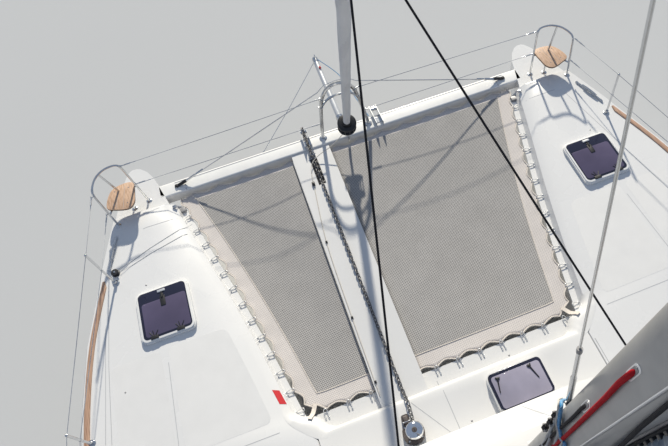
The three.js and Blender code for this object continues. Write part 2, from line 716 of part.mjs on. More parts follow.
function hatchFrame(h, under) {
  const outer = plate(roundRect(h.x, h.y, h.lx, h.ly, h.r), 1560, h.top);
  const hole = plate(roundRect(h.x, h.y, h.lx - 70, h.ly - 70, h.r - 30), 1500, h.top + 50);
  return largest(outer.subtract(hole).subtract(under.translate([0, 0, GAP])));
}

function hatchLid(h) {
  const outline = roundRect(h.x, h.y, h.lx - 2 * LID_MARGIN, h.ly - 2 * LID_MARGIN, h.r - LID_MARGIN);
  return plate(outline, h.top + GAP, h.top + LID_T);
}

pair("hatch_frame", hatchFrame(HATCH, hull), "white_paint");
pair("hatch_lid", hatchLid(HATCH), "smoked_acrylic");
add("deck_hatch_frame", hatchFrame(DECK_HATCH, deck), "white_paint");
add("deck_hatch_lid", hatchLid(DECK_HATCH), "smoked_acrylic");

// Mast, spreaders, boom and sails
const STAY_FOOT = [4560, 0, 1700];
const STAY_HEAD = [-195, 0, 15990];

const GOOSE = { x: raked(BOOM_Z) - 210, r: 25 }; // the boom's pivot pin
const MAST_HALF = { x: 170, y: 100 };

function oval(cx, grow) {
  const points = [];
  for (let i = 0; i < 16; i++) {
    const a = (i * Math.PI) / 8;
    points.push([cx + (MAST_HALF.x + grow) * Math.cos(a), (MAST_HALF.y + grow) * Math.sin(a)]);
  }
  return points;
}

function mastSection(grow) {
  const upright = plate(oval(MAST_X, grow), MAST_FOOT_Z - 40, MAST_TOP_Z);
  return upright.transform([1, 0, 0, 0, 0, 1, 0, 0, -RAKE, 0, 1, 0, RAKE * MAST_FOOT_Z, 0, 0, 1]);
}

function mastTube() {
  const foot = plate(roundRect(MAST_X, 0, 420, 300, 60), MAST_FOOT_Z - 40, MAST_FOOT_Z + 45);
  const lug = box(GOOSE.x, raked(BOOM_Z) - 150, -8, 8, BOOM_Z - 60, BOOM_Z + 60);
  const pin = bar([GOOSE.x, 0, BOOM_Z - 80], [GOOSE.x, 0, BOOM_Z + 80], GOOSE.r, GOOSE.r, 24);
  const tang = box(raked(HOUNDS_Z) + 150, STAY_HEAD[0] - 4, -8, 8, HOUNDS_Z - 60, HOUNDS_Z + 30);
  return largest(join([mastSection(0), foot, lug, pin, tang]).subtract(roof.translate([0, 0, GAP])));
}

const mast = mastTube();
add("mast", mast, "silver_alloy");

const DIAMOND = { low: 4760, high: 13800 };

// Three spreaders with their wires: one forward, two swept aft
function rigging() {
  const tips = [[1018, 0], [-700, 900], [-700, -900]];
  const levels = [DIAMOND.low, SPREADER_Z, DIAMOND.high];
  const pieces = levels.map((z) => plate(oval(raked(z), 18), z - 50, z + 50));
  for (const [x, y] of tips) {
    const tip = [x, y, SPREADER_Z];
    pieces.push(bar([raked(SPREADER_Z) + Math.sign(x) * 120, Math.sign(y) * 60, SPREADER_Z], tip, 30, 20));
    for (const z of [DIAMOND.low, DIAMOND.high]) {
      const reach = y ? -90 : MAST_HALF.x + 8;
      pieces.push(bar([raked(z) + reach, Math.sign(y) * 92, z], tip, 6, 6, 6));
    }
  }
  return largest(join(pieces).subtract(mastSection(GAP)));
}

add("spreaders", rigging(), "silver_alloy");

function shroud() {
  const wire = bar([-700, 3600, 1560], [raked(HOUNDS_Z) - 60, 96, HOUNDS_Z], 7, 7, 6);
  const screw = bar([-700, 3600, 1560], [-689, 3540, 1790], 18);
  const ends = join([hull.translate([0, 0, GAP]), mast.translate([0, GAP, 0])]);
  return largest(join([wire, screw]).subtract(ends));
}

pair("shroud", shroud(), "stainless");

// Furled headsail on the forestay
function onStay(share) {
  return STAY_FOOT.map((v, i) => v + (STAY_HEAD[i] - v) * share);
}

// The roll of sail: share of the stay's length, and radius
const ROLL = [
  [0.012, 42], [0.03, 48], [0.2, 70], [0.45, 78], [0.7, 62], [0.9, 38], [0.96, 24], [0.998, 8],
];
// The furling drum: share where a disc starts and ends, and its radius
const DRUM = [
  [0.002, 0.0035, 122],
  [0.0035, 0.0095, 70],
  [0.0095, 0.0115, 122],
  [0.01, 0.013, 60],
];

function furledSail() {
  const pieces = [];
  for (let i = 1; i < ROLL.length; i++) {
    const [[from, r], [to, r2]] = [ROLL[i - 1], ROLL[i]];
    pieces.push(bar(onStay(from), onStay(to), r, r2, 14));
  }
  const drum = DRUM.map(([from, to, r]) => bar(onStay(from), onStay(to), r, r, 20));
  return largest(join([...pieces, ...drum]).subtract(mast.translate([GAP, 0, 0])));
}

add("furled_headsail", furledSail(), "white_sailcloth");

function stayFitting() {
  const lug = box(BEAM_X - 130, BEAM_X - 60, -8, 8, 1440, 1600);
  const toggle = bar([4600, 0, 1560], onStay(0.00195), 16, 16, 10);
  return largest(join([lug, toggle]).subtract(beam.translate([-GAP, 0, GAP])).subtract(beam));
}

add("forestay_fitting", stayFitting(), "stainless");

const BOOM = { x0: GOOSE.x - 50, x1: -6050 };

function boomSpar() {
  const side = [
    [BOOM.x0, BOOM_Z - 90], [BOOM.x0, BOOM_Z + 90], [BOOM.x1, BOOM_Z + 70], [BOOM.x1, BOOM_Z - 70],
  ];
  const spar = profile(side, -60, 60);
  const neck = box(BOOM.x0 - 5, GOOSE.x - 12, -22, 22, BOOM_Z - 50, BOOM_Z + 50);
  const hole = bar([GOOSE.x, 0, BOOM_Z - 90], [GOOSE.x, 0, BOOM_Z + 90], GOOSE.r + RUN, GOOSE.r + RUN, 24);
  return largest(join([spar, neck]).subtract(hole));
}

// The bagged mainsail on the boom: x, height and half width
const BAG = [[BOOM.x0 - 20, 520, 150], [-1600, 430, 190], [-4000, 330, 165], [-5900, 200, 110]];

function sailBag() {
  const z = BOOM_Z + 90 + GAP;
  const rings = BAG.map(([x, h, half]) => {
    const side = [[half * 0.45, z], [half, z + h * 0.35], [half * 0.8, z + h * 0.75], [half * 0.25, z + h]];
    const other = side.map(([y, up]) => [-y, up]).reverse();
    return [...side, ...other].map(([y, up]) => [x, y, up]);
  });
  return loft(rings.reverse());
}

add("boom", boomSpar(), "silver_alloy");
add("sail_bag", sailBag(), "bag_cloth");

const FINISHES = {
  gelcoat: [0xf2f2ee, 0.3, 0],
  white_paint: [0xf4f4f2, 0.35, 0],
  grey_metal: [0x8d9092, 0.45, 0.7],
  bronze: [0xa8793f, 0.35, 1],
  dark_glass: [0x14171c, 0.08, 0],
  smoked_acrylic: [0x2a2a3c, 0.08, 0],
  stainless: [0xc8cbce, 0.2, 1],
  galvanised: [0x75787a, 0.55, 0.8],
  aluminium: [0xd9dbdc, 0.3, 1],
  silver_alloy: [0xa3a5a8, 0.4, 0.8],
  teak: [0xb98a62, 0.6, 0],
  timber: [0xa8744f, 0.55, 0],
  net: [0x9b9692, 0.9, 0],
  white_sailcloth: [0xdedbd6, 0.8, 0],
  bag_cloth: [0x5f6c7a, 0.85, 0],
};

function meshOf(name, piece, finish) {
  const raw = piece.getMesh();
  const g = new THREE.BufferGeometry();
  const xyz = new Float32Array(raw.numVert * 3);
  for (let i = 0; i < raw.numVert; i++) {
    xyz.set(raw.vertProperties.subarray(i * raw.numProp, i * raw.numProp + 3), i * 3);
  }
  g.setAttribute("position", new THREE.BufferAttribute(xyz, 3));
  g.setIndex(new THREE.BufferAttribute(raw.triVerts, 1));
  const [color, roughness, metalness] = FINISHES[finish];
  const mesh = new THREE.Mesh(g, new THREE.MeshStandardMaterial({ color, roughness, metalness }));
  mesh.name = name;
  return mesh;
}

const catamaran = new THREE.Group();
for (const [name, piece, finish] of nodes) catamaran.add(meshOf(name, piece, finish));

export default catamaran;
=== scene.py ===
"""Looks of a cruising sailing catamaran at rest, with both its sails stowed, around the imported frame."""
import math
import random

import bmesh
import bpy
from mathutils import Matrix, Vector
from mathutils.bvhtree import BVHTree


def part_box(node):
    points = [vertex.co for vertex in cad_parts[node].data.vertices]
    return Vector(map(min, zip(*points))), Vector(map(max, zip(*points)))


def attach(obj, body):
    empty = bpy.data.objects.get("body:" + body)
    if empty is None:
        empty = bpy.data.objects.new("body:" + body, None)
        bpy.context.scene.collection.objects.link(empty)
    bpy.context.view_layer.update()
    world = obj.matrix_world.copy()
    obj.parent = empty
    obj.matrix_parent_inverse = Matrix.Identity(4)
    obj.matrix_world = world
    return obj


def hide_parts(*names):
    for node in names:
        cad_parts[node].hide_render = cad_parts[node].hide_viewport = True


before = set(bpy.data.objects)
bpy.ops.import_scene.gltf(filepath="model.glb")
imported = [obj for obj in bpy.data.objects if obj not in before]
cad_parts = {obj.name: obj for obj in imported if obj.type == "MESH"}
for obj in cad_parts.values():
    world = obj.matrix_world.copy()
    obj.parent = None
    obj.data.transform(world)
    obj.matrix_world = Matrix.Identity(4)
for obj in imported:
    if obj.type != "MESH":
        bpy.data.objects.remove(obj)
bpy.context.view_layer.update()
random.seed(11)

# Sizes in metres: x forward, y to port, z up from the waterline
BOAT = "boat"
SIDES = (("port", 1.0), ("starboard", -1.0))
DECK_Z = 1.6
LEDGE_Z = 1.42
NET_Z = 1.432
WALK_Y = 0.53
WALK_HALF = 0.252
STAY_FOOT = Vector((4.56, 0.0, 1.7))
STAY_HEAD = Vector((-0.195, 0.0, 15.99))
STAY = STAY_HEAD - STAY_FOOT
DOWN = Vector((0, 0, -1))
FLOOR_HALF = 60.0


# Camera, floor and light
def make_camera():
    data = bpy.data.cameras.new("camera")
    data.sensor_width = 36
    data.lens = 32.80
    data.shift_x = -0.0719
    data.shift_y = -0.0291
    data.clip_start = 0.05
    data.clip_end = 200
    camera = bpy.data.objects.new("camera", data)
    camera.location = (-0.3241, 0.8859, 7.7662)
    camera.rotation_euler = [math.radians(a) for a in (31.574, 3.870, -110.242)]
    bpy.context.scene.collection.objects.link(camera)
    bpy.context.scene.camera = camera


def make_light():
    data = bpy.data.lights.new("key", "SUN")
    data.energy = 5.5
    data.angle = math.radians(1.6)
    data.color = (1.0, 0.93, 0.785)
    key = bpy.data.objects.new("key", data)
    travel = Vector((-1.85, 0.46, -1.0))
    key.rotation_euler = travel.to_track_quat("-Z", "Y").to_euler()
    bpy.context.scene.collection.objects.link(key)
    world = bpy.data.worlds.new("studio")
    world.use_nodes = True
    sky = world.node_tree.nodes["Background"]
    sky.inputs["Color"].default_value = (0.60, 0.74, 1.0, 1)
    sky.inputs["Strength"].default_value = 0.42
    bpy.context.scene.world = world
    bpy.context.scene.view_settings.view_transform = "Standard"


def make_floor():
    floor = bpy.data.objects.new("floor", bpy.data.meshes.new("floor"))
    corners = [(x * FLOOR_HALF, y * FLOOR_HALF, 0) for x, y in ((-1, -1), (1, -1), (1, 1), (-1, 1))]
    floor.data.from_pydata(corners, [], [[0, 1, 2, 3]])
    floor.data.materials.append(LOOKS["floor"])
    bpy.context.scene.collection.objects.link(floor)


# Materials
class Look:
    """A node-based material: colour that varies a little, roughness that varies and a fine bump."""

    def __init__(self, name, rough, metal=0.0, coat=0.0):
        self.material = bpy.data.materials.new(name)
        self.material.use_nodes = True
        self.tree = self.material.node_tree
        self.shader = self.tree.nodes["Principled BSDF"]
        self.set("Metallic", metal)
        self.set("Coat Weight", coat)
        self.set("Coat Roughness", 0.12)
        self.set("Roughness", rough)
        self.place = self.node("TexCoord").outputs["Object"]

    def set(self, socket, value):
        self.shader.inputs[socket].default_value = value

    def node(self, kind, **values):
        made = self.tree.nodes.new("ShaderNode" + kind)
        for key, value in values.items():
            setattr(made, key, value)
        return made

    def link(self, source, target):
        self.tree.links.new(source, target)

    def noise(self, scale, detail=3.0, stretch=None):
        made = self.node("TexNoise")
        made.inputs["Scale"].default_value = scale
        made.inputs["Detail"].default_value = detail
        source = self.place
        if stretch:
            mapping = self.node("Mapping")
            mapping.inputs["Scale"].default_value = stretch
            self.link(self.place, mapping.inputs["Vector"])
            source = mapping.outputs["Vector"]
        self.link(source, made.inputs["Vector"])
        return made.outputs["Fac"]

    def ramp(self, source, stops):
        made = self.node("ValToRGB")
        elements = made.color_ramp.elements
        while len(elements) < len(stops):
            elements.new(0.5)
        for element, (position, colour) in zip(elements, stops):
            element.position = position
            element.color = (*colour, 1)
        self.link(source, made.inputs["Fac"])
        return made.outputs["Color"]

    def math(self, operation, a, b=0.0):
        made = self.node("Math", operation=operation)
        for socket, value in zip(made.inputs, (a, b)):
            if isinstance(value, (int, float)):
                socket.default_value = value
            else:
                self.link(value, socket)
        return made.outputs[0]

    def mix(self, factor, a, b):
        made = self.node("Mix", data_type="RGBA")
        self.link(factor, made.inputs["Factor"])
        for socket, value in ((made.inputs[6], a), (made.inputs[7], b)):
            if isinstance(value, tuple):
                socket.default_value = (*value, 1)
            else:
                self.link(value, socket)
        return made.outputs[2]

    def spread(self, colour, amount, scale):
        low = tuple(c * (1 - amount) for c in colour)
        high = tuple(min(1.0, c * (1 + amount)) for c in colour)
        return self.ramp(self.noise(scale, 4.0), [(0.3, low), (0.7, high)])

    def paint(self, source):
        self.link(source, self.shader.inputs["Base Color"])

    def vary_roughness(self, low, high, scale):
        made = self.node("MapRange")
        made.inputs["To Min"].default_value = low
        made.inputs["To Max"].default_value = high
        self.link(self.noise(scale), made.inputs["Value"])
        self.link(made.outputs["Result"], self.shader.inputs["Roughness"])

    def bump(self, height, depth, strength=1.0):
        made = self.node("Bump")
        made.inputs["Strength"].default_value = strength
        made.inputs["Distance"].default_value = depth
        self.link(height, made.inputs["Height"])
        self.link(made.outputs["Normal"], self.shader.inputs["Normal"])

    def axes(self):
        split = self.node("SeparateXYZ")
        self.link(self.place, split.inputs["Vector"])
        return split.outputs


def plain(
    name, colour, rough, metal=0.0, coat=0.0, spread=0.05,
    scale=9.0, grain=220.0, depth=0.0003, specular=0.5,
):
    look = Look(name, rough, metal, coat)
    look.set("Specular IOR Level", specular)
    look.paint(look.spread(colour, spread, scale))
    look.vary_roughness(rough * 0.8, min(1.0, rough * 1.25), scale * 3)
    look.bump(look.noise(grain), depth)
    return look.material


def hull_gelcoat():
    """White topsides over a dark stripe and a darker bottom."""
    look = Look("hull_gelcoat", 0.25, coat=0.4)
    height = look.axes()[2]
    white = look.spread((0.73, 0.73, 0.73), 0.02, 0.8)
    below = look.spread((0.035, 0.05, 0.085), 0.25, 6.0)
    stripe = look.math("GREATER_THAN", height, 0.10)
    under = look.math("LESS_THAN", height, 0.06)
    band = look.mix(stripe, (0.05, 0.08, 0.16), white)
    look.paint(look.mix(under, band, below))
    look.vary_roughness(0.2, 0.34, 3.0)
    look.bump(look.noise(2.2, 1.0), 0.002, 0.25)
    return look.material


def non_skid():
    look = Look("non_skid", 0.6)
    look.paint(look.spread((0.70, 0.70, 0.70), 0.02, 5.0))
    look.vary_roughness(0.5, 0.7, 30.0)
    cells = look.node("TexVoronoi")
    cells.inputs["Scale"].default_value = 320.0
    look.link(look.place, cells.inputs["Vector"])
    look.bump(cells.outputs["Distance"], 0.0008, 0.7)
    return look.material


def weave(name, strand, gap, pitch, fill):
    """A net or cloth whose strands cross on the diagonal, with gaps of another colour between them: painted
    shade, as seen through its holes.
    """
    look = Look(name, 0.85)
    x, y, _ = look.axes()
    waves = []
    for operation in ("ADD", "SUBTRACT"):
        along = look.math("MULTIPLY", look.math(operation, x, y), math.pi / pitch)
        waves.append(look.math("ABSOLUTE", look.math("SINE", along)))
    hole = look.math("MINIMUM", waves[0], waves[1])
    open_part = look.math("GREATER_THAN", hole, fill)
    look.paint(look.mix(open_part, look.spread(strand, 0.06, 4.0), gap))
    look.bump(look.math("SUBTRACT", 1.0, hole), 0.002, 0.6)
    return look.material


def rope_look(name, colour, fleck):
    look = Look(name, 0.75)
    look.set("Specular IOR Level", 0.12)
    twist = look.node("TexWave", bands_direction="DIAGONAL")
    twist.inputs["Scale"].default_value = 55.0
    twist.inputs["Distortion"].default_value = 2.0
    look.link(look.place, twist.inputs["Vector"])
    body = look.spread(colour, 0.12, 30.0)
    look.paint(look.mix(look.math("GREATER_THAN", twist.outputs["Fac"], 0.8), body, fleck))
    look.bump(twist.outputs["Fac"], 0.0012, 0.8)
    return look.material


def wood(name, light, dark, stretch=(1.0, 6.0, 6.0)):
    look = Look(name, 0.5, coat=0.15)
    grain = look.noise(14.0, 6.0, stretch)
    pale = tuple(min(1, c * 1.15) for c in light)
    look.paint(look.ramp(grain, [(0.32, dark), (0.55, light), (0.75, pale)]))
    look.vary_roughness(0.4, 0.62, 20.0)
    look.bump(grain, 0.0006, 0.6)
    return look.material


def planks(name, light, caulk):
    """Narrow planks along the boat, with dark caulking between them."""
    look = Look(name, 0.6)
    _, across, _ = look.axes()
    grain = look.noise(14.0, 6.0, (1.0, 6.0, 6.0))
    board = look.ramp(grain, [(0.32, tuple(c * 0.7 for c in light)), (0.7, light)])
    gap = look.math("GREATER_THAN", look.math("FRACT", look.math("MULTIPLY", across, 18.0)), 0.91)
    look.paint(look.mix(gap, board, caulk))
    look.vary_roughness(0.5, 0.75, 20.0)
    look.bump(look.math("SUBTRACT", grain, gap), 0.001, 0.6)
    return look.material


def acrylic(name, colour):
    look = Look(name, 0.08, coat=0.6)
    look.paint(look.spread(colour, 0.2, 2.0))
    look.vary_roughness(0.05, 0.14, 8.0)
    look.bump(look.noise(3.0, 1.0), 0.0006, 0.2)
    return look.material


def cloth(name, colour, thread=900.0, folds=7.0, spread=0.06):
    look = Look(name, 0.9)
    look.paint(look.spread(colour, spread, folds))
    look.vary_roughness(0.82, 0.97, 20.0)
    threads = look.noise(thread, 1.0)
    creases = look.math("MULTIPLY", look.noise(folds * 3), 3.0)
    look.bump(look.math("ADD", threads, creases), 0.001, 0.7)
    look.set("Sheen Weight", 0.15)
    return look.material


# Colour, roughness and what else each look needs
PLAIN_LOOKS = {
    "gelcoat": ((0.66, 0.66, 0.66), 0.32, dict(coat=0.3, spread=0.02, scale=1.2, grain=60, depth=0.0004)),
    # A darker copy of the white gelcoat for the roof: painted shade that tones down its lit faces
    "roof_gelcoat_shaded": ((0.58, 0.58, 0.585), 0.36, dict(coat=0.2, spread=0.02, scale=1.2, grain=60)),
    "white_paint": ((0.78, 0.78, 0.77), 0.35, dict(coat=0.2, spread=0.03)),
    # Grey for the beam's aft face: painted shade on the side turned from the light
    "beam_shaded_side": ((0.60, 0.60, 0.61), 0.4, dict(spread=0.04)),
    "steel": ((0.62, 0.63, 0.64), 0.2, dict(metal=1.0, spread=0.06, scale=20, grain=500, depth=0.0001)),
    "chrome": ((0.80, 0.81, 0.82), 0.08, dict(metal=1.0, spread=0.04, scale=30, grain=500, depth=0.00005)),
    "galvanised": ((0.16, 0.16, 0.165), 0.55, dict(metal=0.6, spread=0.35, scale=60, grain=400)),
    "alloy": ((0.45, 0.46, 0.47), 0.42, dict(metal=0.6, spread=0.06, scale=6)),
    # A darker copy of the alloy for the mast's skin: painted shade, its side being turned from the light
    "mast_alloy_shaded": ((0.33, 0.33, 0.33), 0.45, dict(metal=0.3, spread=0.07, scale=5)),
    "pale_alloy": ((0.68, 0.69, 0.70), 0.3, dict(metal=0.5, spread=0.05)),
    "grey_metal": ((0.25, 0.25, 0.26), 0.45, dict(metal=0.4, spread=0.1)),
    "brown_metal": ((0.10, 0.085, 0.08), 0.5, dict(metal=0.3, spread=0.2, scale=30)),
    "bronze": ((0.45, 0.27, 0.12), 0.35, dict(metal=1.0, spread=0.15)),
    "black_plastic": ((0.016, 0.016, 0.018), 0.4, dict(spread=0.3, scale=25)),
    "rubber": ((0.03, 0.03, 0.032), 0.75, dict(spread=0.2, scale=40)),
    "seam": ((0.42, 0.43, 0.45), 0.6, dict(spread=0.05)),
    # Near-black sheets in the walkway's trough: painted shade
    "trough_shade_sheet": ((0.05, 0.05, 0.055), 0.7, dict(spread=0.2, scale=30)),
    "panel": ((0.015, 0.02, 0.045), 0.15, dict(coat=0.5, spread=0.2, scale=12)),
    "red_paint": ((0.50, 0.012, 0.02), 0.6, dict(spread=0.1)),
    "floor": ((0.52, 0.53, 0.54), 1.0, dict(spread=0.006, scale=0.1, grain=120, depth=0.00005, specular=0.1)),
}
ACRYLIC_LOOKS = {
    "glass": (0.012, 0.015, 0.02), "smoked": (0.085, 0.070, 0.125),
    "pale_smoked": (0.33, 0.31, 0.39), "dark_border": (0.012, 0.012, 0.030),
}
ROPE_LOOKS = {
    "black_rope": ((0.014, 0.014, 0.016), (0.05, 0.05, 0.055)),
    "white_rope": ((0.62, 0.59, 0.54), (0.45, 0.42, 0.38)),
    "grey_rope": ((0.42, 0.42, 0.42), (0.25, 0.26, 0.28)),
    "blue_rope": ((0.07, 0.26, 0.50), (0.35, 0.45, 0.55)),
    "red_rope": ((0.40, 0.004, 0.012), (0.32, 0.01, 0.015)),
}
CLOTH_LOOKS = {
    "webbing": ((0.62, 0.57, 0.52), dict(thread=500, folds=20)),
    "sail": ((0.62, 0.62, 0.62), dict(folds=3.0, spread=0.04)),
    "sun_strip": ((0.58, 0.58, 0.585), dict(folds=3.0)),
    "luff": ((0.26, 0.29, 0.32), dict(folds=14.0, spread=0.2)),
    "bag": ((0.13, 0.16, 0.20), dict(folds=6.0, spread=0.12)),
    "bag_strap": ((0.035, 0.04, 0.05), dict(thread=500, folds=20)),
}
LOOKS = {
    "hull": hull_gelcoat(),
    "non_skid": non_skid(),
    "wood": wood("wood", (0.60, 0.40, 0.27), (0.43, 0.26, 0.16)),
    # A much darker copy of the seat wood for the seats' sides: painted shade
    "wood_shaded_side": wood("wood_shaded_side", (0.20, 0.11, 0.06), (0.11, 0.06, 0.03)),
    "rub_wood": wood("rub_wood", (0.46, 0.29, 0.20), (0.30, 0.17, 0.11), (0.4, 8.0, 8.0)),
    "planks": planks("planks", (0.44, 0.29, 0.17), (0.02, 0.02, 0.02)),
    # The net's near-black gap colour is painted shade for what shows through its holes
    "net": weave("net", (0.46, 0.445, 0.435), (0.13, 0.13, 0.13), 0.026, 0.5),
    "hem": weave("hem", (0.64, 0.60, 0.575), (0.47, 0.44, 0.425), 0.026, 0.55),
}
for name, (colour, rough, more) in PLAIN_LOOKS.items():
    LOOKS[name] = plain(name, colour, rough, **more)
for name, colour in ACRYLIC_LOOKS.items():
    LOOKS[name] = acrylic(name, colour)
for name, colours in ROPE_LOOKS.items():
    LOOKS[name] = rope_look(name, *colours)
for name, (colour, more) in CLOTH_LOOKS.items():
    LOOKS[name] = cloth(name, colour, **more)

# The solids that each look goes on, without the side in their names
NODES_BY_LOOK = {
    "hull": ("hull", "keel", "rudder"),
    "gelcoat": ("bridge_deck", "hard_top", "helm_console", "walkway"),
    "roof_gelcoat_shaded": ("coachroof",),
    "white_paint": ("crossbeam", "hatch_frame", "deck_hatch_frame"),
    "glass": ("side_window", "front_window", "saloon_door"),
    "smoked": ("hatch_lid", "deck_hatch_lid"),
    "steel": (
        "helm_wheel", "striker_arch", "striker_wires", "bow_roller", "windlass_drum", "pulpit", "guardrail",
        "guardrail_bow", "pushpit", "shroud", "forestay_fitting",
    ),
    "alloy": ("mast", "spreaders", "boom"),
    "pale_alloy": ("sprit",),
    "grey_metal": ("saildrive",),
    "brown_metal": ("windlass_base",),
    "bronze": ("propeller",),
    "galvanised": ("anchor_chain",),
    "wood": ("cockpit_table", "pulpit_seat"),
    "rubber": ("rub_rail",),
    "net": ("net",),
    "sail": ("furled_headsail",),
    "bag": ("sail_bag",),
}
NODE_LOOKS = {node: look for look, nodes in NODES_BY_LOOK.items() for node in nodes}
SHARP_ANGLE = 34


def smoothing():
    """Curved faces shade smoothly and real corners stay sharp, without a change to the mesh itself."""
    tree = bpy.data.node_groups.new("smooth_by_angle", "GeometryNodeTree")
    for way in ("INPUT", "OUTPUT"):
        tree.interface.new_socket("Geometry", in_out=way, socket_type="NodeSocketGeometry")
    kinds = {
        "in": "NodeGroupInput", "weld": "GeometryNodeMergeByDistance", "drop": "GeometryNodeRemoveAttribute",
        "smooth": "GeometryNodeSetShadeSmooth", "sharp": "GeometryNodeSetShadeSmooth",
        "angle": "GeometryNodeInputMeshEdgeAngle", "wide": "FunctionNodeCompare", "out": "NodeGroupOutput",
    }
    nodes = {key: tree.nodes.new(kind) for key, kind in kinds.items()}
    nodes["weld"].inputs["Distance"].default_value = 0.00002
    nodes["drop"].inputs["Name"].default_value = "custom_normal"
    nodes["sharp"].domain = "EDGE"
    nodes["sharp"].inputs["Shade Smooth"].default_value = False
    nodes["wide"].operation = "GREATER_THAN"
    nodes["wide"].inputs[1].default_value = math.radians(SHARP_ANGLE)
    chain = ["in", "weld", "drop", "smooth", "sharp", "out"]
    for a, b in zip(chain, chain[1:]):
        tree.links.new(nodes[a].outputs[0], nodes[b].inputs[0])
    tree.links.new(nodes["angle"].outputs["Unsigned Angle"], nodes["wide"].inputs[0])
    tree.links.new(nodes["wide"].outputs[0], nodes["sharp"].inputs["Selection"])
    return tree


def dress_nodes():
    tree = smoothing()
    for name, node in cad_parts.items():
        base = name.removesuffix("_port").removesuffix("_starboard")
        for slot in node.material_slots:
            slot.link = "DATA"
            slot.material = LOOKS[NODE_LOOKS[base]]
        node.modifiers.new("smooth", "NODES").node_group = tree


# Mesh building
class Form:
    """Points and faces of one piece, each face with the number of its look."""

    def __init__(self):
        self.points = []
        self.faces = []
        self.kinds = []

    def add(self, points, faces, look=0):
        start = len(self.points)
        self.points.extend(Vector(p) for p in points)
        self.faces.extend([i + start for i in face] for face in faces)
        self.kinds.extend([look] * len(faces))
        return self

    def merge(self, other, matrix):
        start = len(self.points)
        self.points.extend(matrix @ p for p in other.points)
        self.faces.extend([i + start for i in face] for face in other.faces)
        self.kinds.extend(other.kinds)
        return self

    def rings(self, rings, look=0, closed=False):
        """A skin over rings with the same number of points each, capped unless it closes on itself."""
        n = len(rings[0])
        count = len(rings)
        faces = []
        for i in range(count if closed else count - 1):
            a, b = i * n, (i + 1) % count * n
            faces.extend([a + j, a + (j + 1) % n, b + (j + 1) % n, b + j] for j in range(n))
        if not closed:
            faces.append(list(range(n))[::-1])
            faces.append([(count - 1) * n + j for j in range(n)])
        return self.add([p for ring in rings for p in ring], faces, look)

    def tube(self, path, radius, look=0, sides=8, closed=False):
        """A round bar along a path. The radius is a number, or one number for each point."""
        path = [Vector(p) for p in path]
        count = len(path)
        radii = radius if isinstance(radius, (list, tuple)) else [radius] * count
        tangents = []
        for i in range(count):
            before = path[i - 1] if i or closed else path[i]
            after = path[(i + 1) % count] if i < count - 1 or closed else path[i]
            tangents.append((after - before).normalized())
        side = tangents[0].orthogonal().normalized()
        rings = []
        for point, tangent, r in zip(path, tangents, radii):
            side = (side - tangent * side.dot(tangent)).normalized()
            other = tangent.cross(side)
            rings.append([point + (side * c + other * s) * r for c, s in circle(sides)])
        return self.rings(rings, look, closed=closed)

    def bars(self, rows, sign=1):
        """Straight bars: two ends, radius, look and number of sides each, mirrored where the sign says so."""
        for a, b, radius, look, sides in rows:
            self.tube([(a[0], a[1] * sign, a[2]), (b[0], b[1] * sign, b[2])], radius, look, sides)

    def lathe(self, profile, centre, axis=(0, 0, 1), look=0, sides=20):
        """A turned piece: radius and height of each point of its profile."""
        turn = Vector((0, 0, 1)).rotation_difference(Vector(axis).normalized()).to_matrix()
        rings = [
            [turn @ Vector((radius * c, radius * s, height)) + Vector(centre) for c, s in circle(sides)]
            for radius, height in profile
        ]
        return self.rings(rings, look)

    def slab(self, outline, low, high, look=0, bevel=0.0, steps=2):
        """A flat plate over an outline seen from above, with its upper edge rounded."""
        outline = [Vector((p[0], p[1])) for p in outline]
        area = sum(a.x * b.y - b.x * a.y for a, b in zip(outline, outline[1:] + outline[:1]))
        if area < 0:
            outline.reverse()
        rings = [[(p.x, p.y, low) for p in outline], [(p.x, p.y, high - bevel) for p in outline]]
        for i in range(1, steps + 1):
            turn = math.pi / 2 * i / steps
            inset = inset_outline(outline, bevel * (1 - math.cos(turn)))
            rings.append([(p.x, p.y, high - bevel + bevel * math.sin(turn)) for p in inset])
        return self.rings(rings, look)

    def block(self, centre, size, look=0, bevel=0.002, turn=None):
        """A box with rounded upper edges, turned by a matrix about its own middle."""
        hx, hy, hz = (s / 2 for s in size)
        made = Form().slab(round_rect(0, 0, 2 * hx, 2 * hy, min(hx, hy) * 0.3), -hz, hz, look, bevel)
        move = Matrix.Translation(centre)
        return self.merge(made, move @ turn.to_4x4() if turn else move)

    def cleat(self, centre, along, reach, neck, lift, thick, stand, drop, look):
        """A horn cleat on two legs, with its horns along a line."""
        steps = ((-reach, lift), (-neck, 0), (neck, 0), (reach, lift))
        horns = [centre + along * d + up(h) for d, h in steps]
        self.tube(horns, [thick - 0.006, thick, thick, thick - 0.006], look, 10)
        for d in (-stand, stand):
            foot = centre + along * d
            self.tube([foot - up(drop), foot], thick - 0.002, look)


def circle(count, shift=0.0):
    """Cosine and sine of equal turns."""
    turns = [2 * math.pi * (k + shift) / count for k in range(count)]
    return [(math.cos(a), math.sin(a)) for a in turns]


def up(z):
    return Vector((0, 0, z))


def button(high, radius, shoulder, foot):
    """Profile of a low round head, a screw's for instance."""
    return [(0.001, high), (radius, shoulder), (foot, 0), (0.001, 0)]


def sheave(radius, half):
    """Profile of a pulley wheel, thickest in the middle."""
    return [(0.001, -half), (radius - 0.002, -half), (radius, 0), (radius - 0.002, half), (0.001, half)]


def inset_outline(outline, by):
    result = []
    count = len(outline)
    for i in range(count):
        before = (outline[i] - outline[i - 1]).normalized()
        after = (outline[(i + 1) % count] - outline[i]).normalized()
        inward = Vector((-before.y - after.y, before.x + after.x))
        if inward.length < 1e-6:
            inward = Vector((-before.y, before.x))
        inward.normalize()
        cosine = max(0.4, inward.dot(Vector((-before.y, before.x))))
        result.append(outline[i] + inward * by / cosine)
    return result


